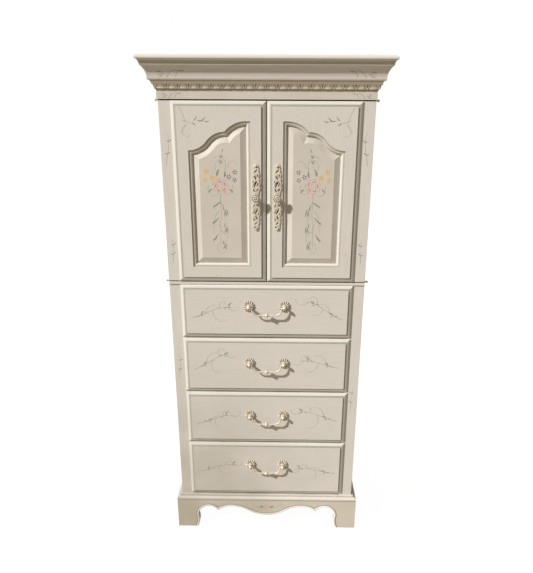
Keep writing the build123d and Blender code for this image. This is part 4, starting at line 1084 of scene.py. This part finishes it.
def sage_frame(body, front, ledge_y):
    """Thin painted ring round a front, laid over the curve of its lip."""
    low_corner, high_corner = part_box(front)
    middle = (low_corner + high_corner) / 2
    half = (high_corner - low_corner) / 2
    bpy.ops.mesh.primitive_plane_add(size=2, location=(middle.x, 0, middle.z), rotation=(pi / 2, 0, 0))
    ring = bpy.context.object
    ring.scale = (half.x - SAGE_OUTER, half.z - SAGE_OUTER, 1)
    bpy.ops.object.transform_apply()
    open_all(ring)
    for _ in range(SAGE_STEPS):
        bpy.ops.mesh.inset(thickness=(SAGE_INNER - SAGE_OUTER) / SAGE_STEPS)
    bpy.ops.mesh.delete(type="FACE")
    bpy.ops.object.mode_set(mode="OBJECT")
    for vertex in ring.data.vertices:
        from_side = half.x - abs(vertex.co.x - middle.x)
        from_end = half.z - abs(vertex.co.z - middle.z)
        out = LIP_LEDGE - min(from_side, from_end)
        vertex.co.y = ledge_y + LIP_ARC - sqrt(LIP_ARC**2 - out**2) - SAGE_LIFT
    bpy.ops.object.modifier_add(type="SOLIDIFY")
    ring.modifiers["Solidify"].thickness = 2 * SAGE_LIFT
    bpy.ops.object.modifier_apply(modifier="Solidify")
    dressed(ring, f"{body}_sage_line", body, sage_line)


for side in SIDES:
    sage_frame(f"{side}_door", f"{side}_door_frame", DOOR_LEDGE_Y)
for k in DRAWERS:
    sage_frame(f"drawer_{k}", f"drawer_{k}_front", DRAWER_LEDGE_Y)


# Painted sprays
PANEL_X = 1000 * (low("left_door_panel").x + high("left_door_panel").x) / 2
COVE_Z = 1777.1 * MM
COVE_FOOT_REACH = 22.0 * MM
COVE_RADIUS = 47.65 * MM
COVE_RISE = 37.0 * MM
COVE_LIFT = 0.12 * MM
ROSE_RINGS = ((7, 0.86, 0.085, ROSE_MARK), (5, 0.56, 0.08, DEEP_MARK), (3, 0.28, 0.07, ROSE_MARK))
GOLD_FLOWERS = ((-47, 1486, 10, 10), (-26, 1466, 11, 40), (-52, 1458, 9, 65))
LILAC_FLOWERS = ((30, 1468, 10, 0), (50, 1484, 9.5, 30), (49, 1458, 9, 50))
PANEL_LEAVES = (
    ((-10, 1470), 100, 27, 4.2, -50),
    ((14, 1466), 62, 24, 3.8, 40),
    ((-28, 1428), 205, 20, 2.8, 40),
    ((30, 1428), -25, 20, 2.8, -40),
)
PANEL_CURLS = (
    ((-14, 1490), 112, 62, -60, -330, 0.6),
    ((16, 1490), 66, 88, 70, 330, 0.6),
    ((26, 1498), 84, 52, -40, -300, 0.55),
    ((-40, 1440), 250, 70, 70, 330, 0.6),
    ((42, 1442), 288, 62, -60, -330, 0.6),
    ((0, 1408), 262, 105, 60, -90, 0.7),
)
PANEL_TRAIL = (
    ((-6, 1307), 292, 98, -100, 90, 0.7),
    ((-2, 1384), 318, 92, -130, 60, 0.6),
    ((-8, 1352), 222, 84, 130, -60, 0.6),
    ((-2, 1282), 342, 66, -60, -300, 0.6),
    ((-8, 1240), 232, 60, 60, 300, 0.6),
)
PANEL_CLUSTERS = (
    (-10, 1378, 232, 24),
    (14, 1356, -62, 25),
    (-16, 1322, 240, 25),
    (16, 1296, -70, 24),
    (-18, 1262, 246, 24),
    (10, 1236, -72, 22),
)
CORNER_CURLS = (
    ((-284, 1690), -70, 90, 60, -240, 0.6),
    ((-276, 1650), -10, 46, -70, 130, 0.6),
    ((-262, 1636), 200, 64, 110, 300, 0.6),
)
CORNER_LEAVES = (
    ((-240, 1648), 35, 20, 2.0),
    ((-228, 1650), -20, 24, 2.0),
    ((-216, 1648), 22, 22, 2.0),
    ((-244, 1644), -58, 17, 2.0),
    ((-204, 1646), -8, 18, 2.0),
)
SPRAY_X = -190
SPRAY_SPREAD = 104
SPRAY_HOOKS = (
    (9, 72, 0.8, -30, -240),
    (14, 262, 0.75, 40, 210),
    (19, 100, 0.55, -60, -330),
    (24, 300, 0.6, 60, 250),
)


def cove_face(z):
    """Depth of the cornice's cove at a height, just clear of its flats."""
    rise = min(max(z - COVE_Z, 0), COVE_RISE)
    bend = COVE_RADIUS - sqrt(COVE_RADIUS**2 - rise**2)
    return FRIEZE_FACE_Y - COVE_FOOT_REACH - bend - COVE_LIFT


def open_rose(centre, radius):
    """Full flower drawn in curved strokes round a heart."""
    marks = []
    for ring, (count, reach, width, paint) in enumerate(ROSE_RINGS):
        for petal in range(count):
            turn = 360 * petal / count + 23 * ring
            start = stepped(centre, turn - degrees(2.0 / count), reach * radius)
            length = 2 * pi * reach * radius / count * 1.02
            marks.append(leaf(start, turn + 30, length, width * radius, 120, paint))
    return marks


def panel_marks():
    """Festoon and trailing stem about the middle line of the left panel."""
    marks = []
    for x, z, radius, turn in GOLD_FLOWERS:
        marks += blossom((x, z), radius, turn, GOLD_MARK, GOLD_MARK)
    for x, z, radius, turn in LILAC_FLOWERS:
        marks += blossom((x, z), radius, turn, LILAC_MARK, YELLOW_MARK, fullness=0.28)
    marks += open_rose((1, 1437), 26)
    marks += [leaf(*numbers) for numbers in PANEL_LEAVES]
    marks += sprig((2, 1500), 84, 48, leaf_length=15, leaf_width=1.7)
    marks += [tendril(*numbers) for numbers in PANEL_CURLS]
    marks += [tendril(*numbers, steps=24) for numbers in PANEL_TRAIL]
    for numbers in PANEL_CLUSTERS:
        marks += leaf_cluster(*numbers)
    return marks


def leaf_cluster(x, z, heading, size):
    """Four leaves that fan out from one spot."""
    return [
        leaf((x, z), heading - 24, size, 2.0, 30),
        leaf((x + 3, z + 4), heading + 4, 1.1 * size, 2.2, -30),
        leaf((x - 4, z - 3), heading + 150, 0.8 * size, 1.8, 30),
        leaf((x + 1, z - 5), heading - 52, 0.8 * size, 1.7, 25),
    ]


def loose_spray(x, z, spread, seed):
    """Long easy lines with hooks and a few leaves, different for each seed."""
    chance = random.Random(seed)
    tilt = chance.uniform(-14, 14)
    lift = chance.uniform(-0.12, 0.12) * spread
    sweep = tendril(
        (x - 0.85 * spread, z - 0.2 * spread + lift), 4 + tilt, 1.6 * spread, 90, -130, 0.75, steps=28
    )
    marks = [sweep]
    for knot, heading, share, first_turn, last_turn in SPRAY_HOOKS:
        start = sweep[0][knot]
        turn = chance.uniform(-25, 25)
        length = share * spread * chance.uniform(0.75, 1.1)
        marks.append(tendril(start, heading + turn, length, first_turn, last_turn, 0.65, steps=22))
    for knot in (chance.choice((6, 7, 8)), chance.choice((20, 22, 24))):
        px, pz = sweep[0][knot]
        marks += leaf_cluster(px, pz + 3, chance.uniform(10, 60), chance.uniform(14, 17))
    bud_x, bud_z = marks[1][0][-1]
    marks.append(leaf((bud_x, bud_z), 60, 5, 1.3, 20, ROSE_MARK))
    marks.append(leaf((bud_x, bud_z), 110, 5, 1.3, -20, ROSE_MARK))
    return marks


def post_spray(x, z, length, seed):
    """One slim line up a post with two pairs of leaves."""
    chance = random.Random(seed)
    start = (x + chance.uniform(-6, 6), z)
    heading = 90 + chance.uniform(-14, 14)
    line = tendril(start, heading, length, -70, 110, 0.65, steps=24)
    marks = [line]
    for knot in (8, 17):
        px, pz = line[0][knot]
        marks.append(leaf((px, pz), 52 + chance.uniform(-10, 10), 13, 1.7, -30))
        marks.append(leaf((px, pz - 3), 128 + chance.uniform(-10, 10), 12, 1.6, 30))
    return marks


def cornice_marks(x, z, size):
    """Loose curls and leaves at the left end of a moulding."""
    return [
        tendril((x, z - 0.8 * size), 62, 2.6 * size, -30, -150, 0.7),
        tendril((x + 1.5 * size, z - 0.7 * size), 84, 2.0 * size, -60, -190, 0.65),
        tendril((x - 0.3 * size, z - 0.3 * size), 150, 1.6 * size, 40, 260, 0.6),
        leaf((x - 0.8 * size, z), 160, 0.8 * size, 1.5, 25),
        leaf((x - 0.6 * size, z - 0.3 * size), 205, 0.8 * size, 1.5, 25),
        leaf((x + 2.2 * size, z + 0.2 * size), 20, 0.8 * size, 1.4, -25),
    ]


def apron_marks(z):
    """Small rose between leaves at the middle of the apron."""
    marks = open_rose((0, z), 13)
    for heading, size in ((20, 18), (-8, 21), (-34, 17)):
        pair = [leaf((13, z), heading, size, 2.2, 25)]
        marks += pair + flipped(pair)
    stem = [tendril((26, z), -10, 60, 40, 260, 0.6)]
    return marks + stem + flipped(stem)


left_panel = changed(panel_marks(), lambda x, z: (x + PANEL_X, z))
left_corner = [tendril(*numbers) for numbers in CORNER_CURLS] + [leaf(*numbers) for numbers in CORNER_LEAVES]
left_post = post_spray(-335, 1505, 110, 3) + post_spray(-336, 1165, 90, 5)
doors = {"left": (left_panel, left_corner, left_post)}
doors["right"] = tuple(flipped(marks) for marks in doors["left"])
for side, (panel, corner, post) in doors.items():
    painted(f"{side}_panel_flowers", f"{side}_door", panel, lambda z: PANEL_FIELD_Y)
    painted(f"{side}_corner_spray", f"{side}_door", corner, lambda z: DOOR_FIELD_Y)
    painted(f"{side}_post_vine", f"{side}_door", post, lambda z: POST_FACE_Y)
for k in DRAWERS:
    box_low, box_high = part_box(f"drawer_{k}_front")
    middle_z = 500 * (box_low.z + box_high.z)
    left_spray = loose_spray(SPRAY_X, middle_z, SPRAY_SPREAD, 10 * k)
    right_spray = flipped(loose_spray(SPRAY_X, middle_z + 6, SPRAY_SPREAD, 10 * k + 5))
    painted(f"drawer_{k}_sprays", f"drawer_{k}", left_spray + right_spray, lambda z: DRAWER_FIELD_Y)
stile_marks = post_spray(-333, 700, 105, 21) + flipped(post_spray(-334, 560, 110, 23))
painted("stile_sprays", "case", stile_marks, lambda z: STILE_FACE_Y)
frieze_half = cornice_marks(-318, 1729, 14)
painted("frieze_curls", "case", frieze_half + flipped(frieze_half), lambda z: FRIEZE_FACE_Y)
cove_half = cornice_marks(-316, 1793, 19) + [tendril((-342, 1784), 120, 26, -40, -300, 0.5, ROSE_MARK)]
painted("cove_curls", "case", cove_half + flipped(cove_half), cove_face)
painted("apron_rose", "case", apron_marks(104), lambda z: BASE_FACE_Y)
for spare in (rosette, bolt_head, bail, plate, knob):
    bpy.data.objects.remove(spare)


# Camera, light and floor
PHOTO_HEIGHT = 573
FOCAL_PIXELS = 500
SENSOR = 36.0
CAMERA_SHIFT = -0.0143
CAMERA_PLACE = (0.0454, -1.9331, 1.64314)
CAMERA_TURNS = (90 - 18.127, -0.3025, 0.6403)
KEY_FROM = (-0.65, -0.43, 0.62)
KEY_STRENGTH = 4.85
KEY_SPREAD = 3.0
KEY_COLOUR = (1.0, 0.985, 0.965)
ROOM_COLOUR = (1.0, 0.87, 0.68, 1.0)
ROOM_STRENGTH = 0.235
WHITE = (1.0, 1.0, 1.0, 1.0)
FLOOR_SIZE = 14.0
FLOOR_BOUNCE = (0.38, 0.33, 0.25, 1.0)
FLOOR_SEEN = (0.05, 0.05, 0.05, 1.0)
FLOOR_GLOW = 0.97

camera_data = bpy.data.cameras.new("camera")
camera_data.sensor_fit = "VERTICAL"
camera_data.sensor_height = SENSOR
camera_data.lens = SENSOR * FOCAL_PIXELS / PHOTO_HEIGHT
camera_data.shift_x = CAMERA_SHIFT
camera = linked("camera", camera_data)
camera.location = CAMERA_PLACE
camera.rotation_euler = [radians(turn) for turn in CAMERA_TURNS]
scene.camera = camera

lamp_data = bpy.data.lights.new("key_lamp", "SUN")
lamp_data.energy = KEY_STRENGTH
lamp_data.angle = radians(KEY_SPREAD)
lamp_data.color = KEY_COLOUR
key_lamp = linked("key_lamp", lamp_data)
key_lamp.rotation_euler = Vector(KEY_FROM).to_track_quat("Z", "Y").to_euler()


def seen_directly(tree):
    """1 for rays from the camera, a mirror or glass, and 0 for the light that falls on the piece."""
    path = tree.nodes.new("ShaderNodeLightPath")
    mirrored = combined("MAXIMUM", path.outputs["Is Glossy Ray"], path.outputs["Is Transmission Ray"])
    return combined("MAXIMUM", path.outputs["Is Camera Ray"], mirrored)


world = bpy.data.worlds.new("room")
world.use_nodes = True
scene.world = world
room = world.node_tree
room_light = room.nodes["Background"]
feed(room_light, Color=ROOM_COLOUR, Strength=ROOM_STRENGTH)
white_light = room.nodes.new("ShaderNodeBackground")
feed(white_light, Color=WHITE)
choose = room.nodes.new("ShaderNodeMixShader")
wire(seen_directly(room), choose.inputs[0])
wire(room_light.outputs[0], choose.inputs[1])
wire(white_light.outputs[0], choose.inputs[2])
feed(room.nodes["World Output"], Surface=choose.outputs[0])

bpy.ops.mesh.primitive_plane_add(size=FLOOR_SIZE)
floor = bpy.context.object
floor.name = "floor"
floor_material, floor_tree, floor_shader = new_material("white_floor")
floor_seen = seen_directly(floor_tree)
glow = combined("MULTIPLY", floor_seen, FLOOR_GLOW)
bounce = mixed_colour(floor_seen, FLOOR_BOUNCE, FLOOR_SEEN)
feed(floor_shader, Base_Color=bounce, Roughness=0.9, Emission_Color=WHITE, Emission_Strength=glow)
floor.data.materials.append(floor_material)
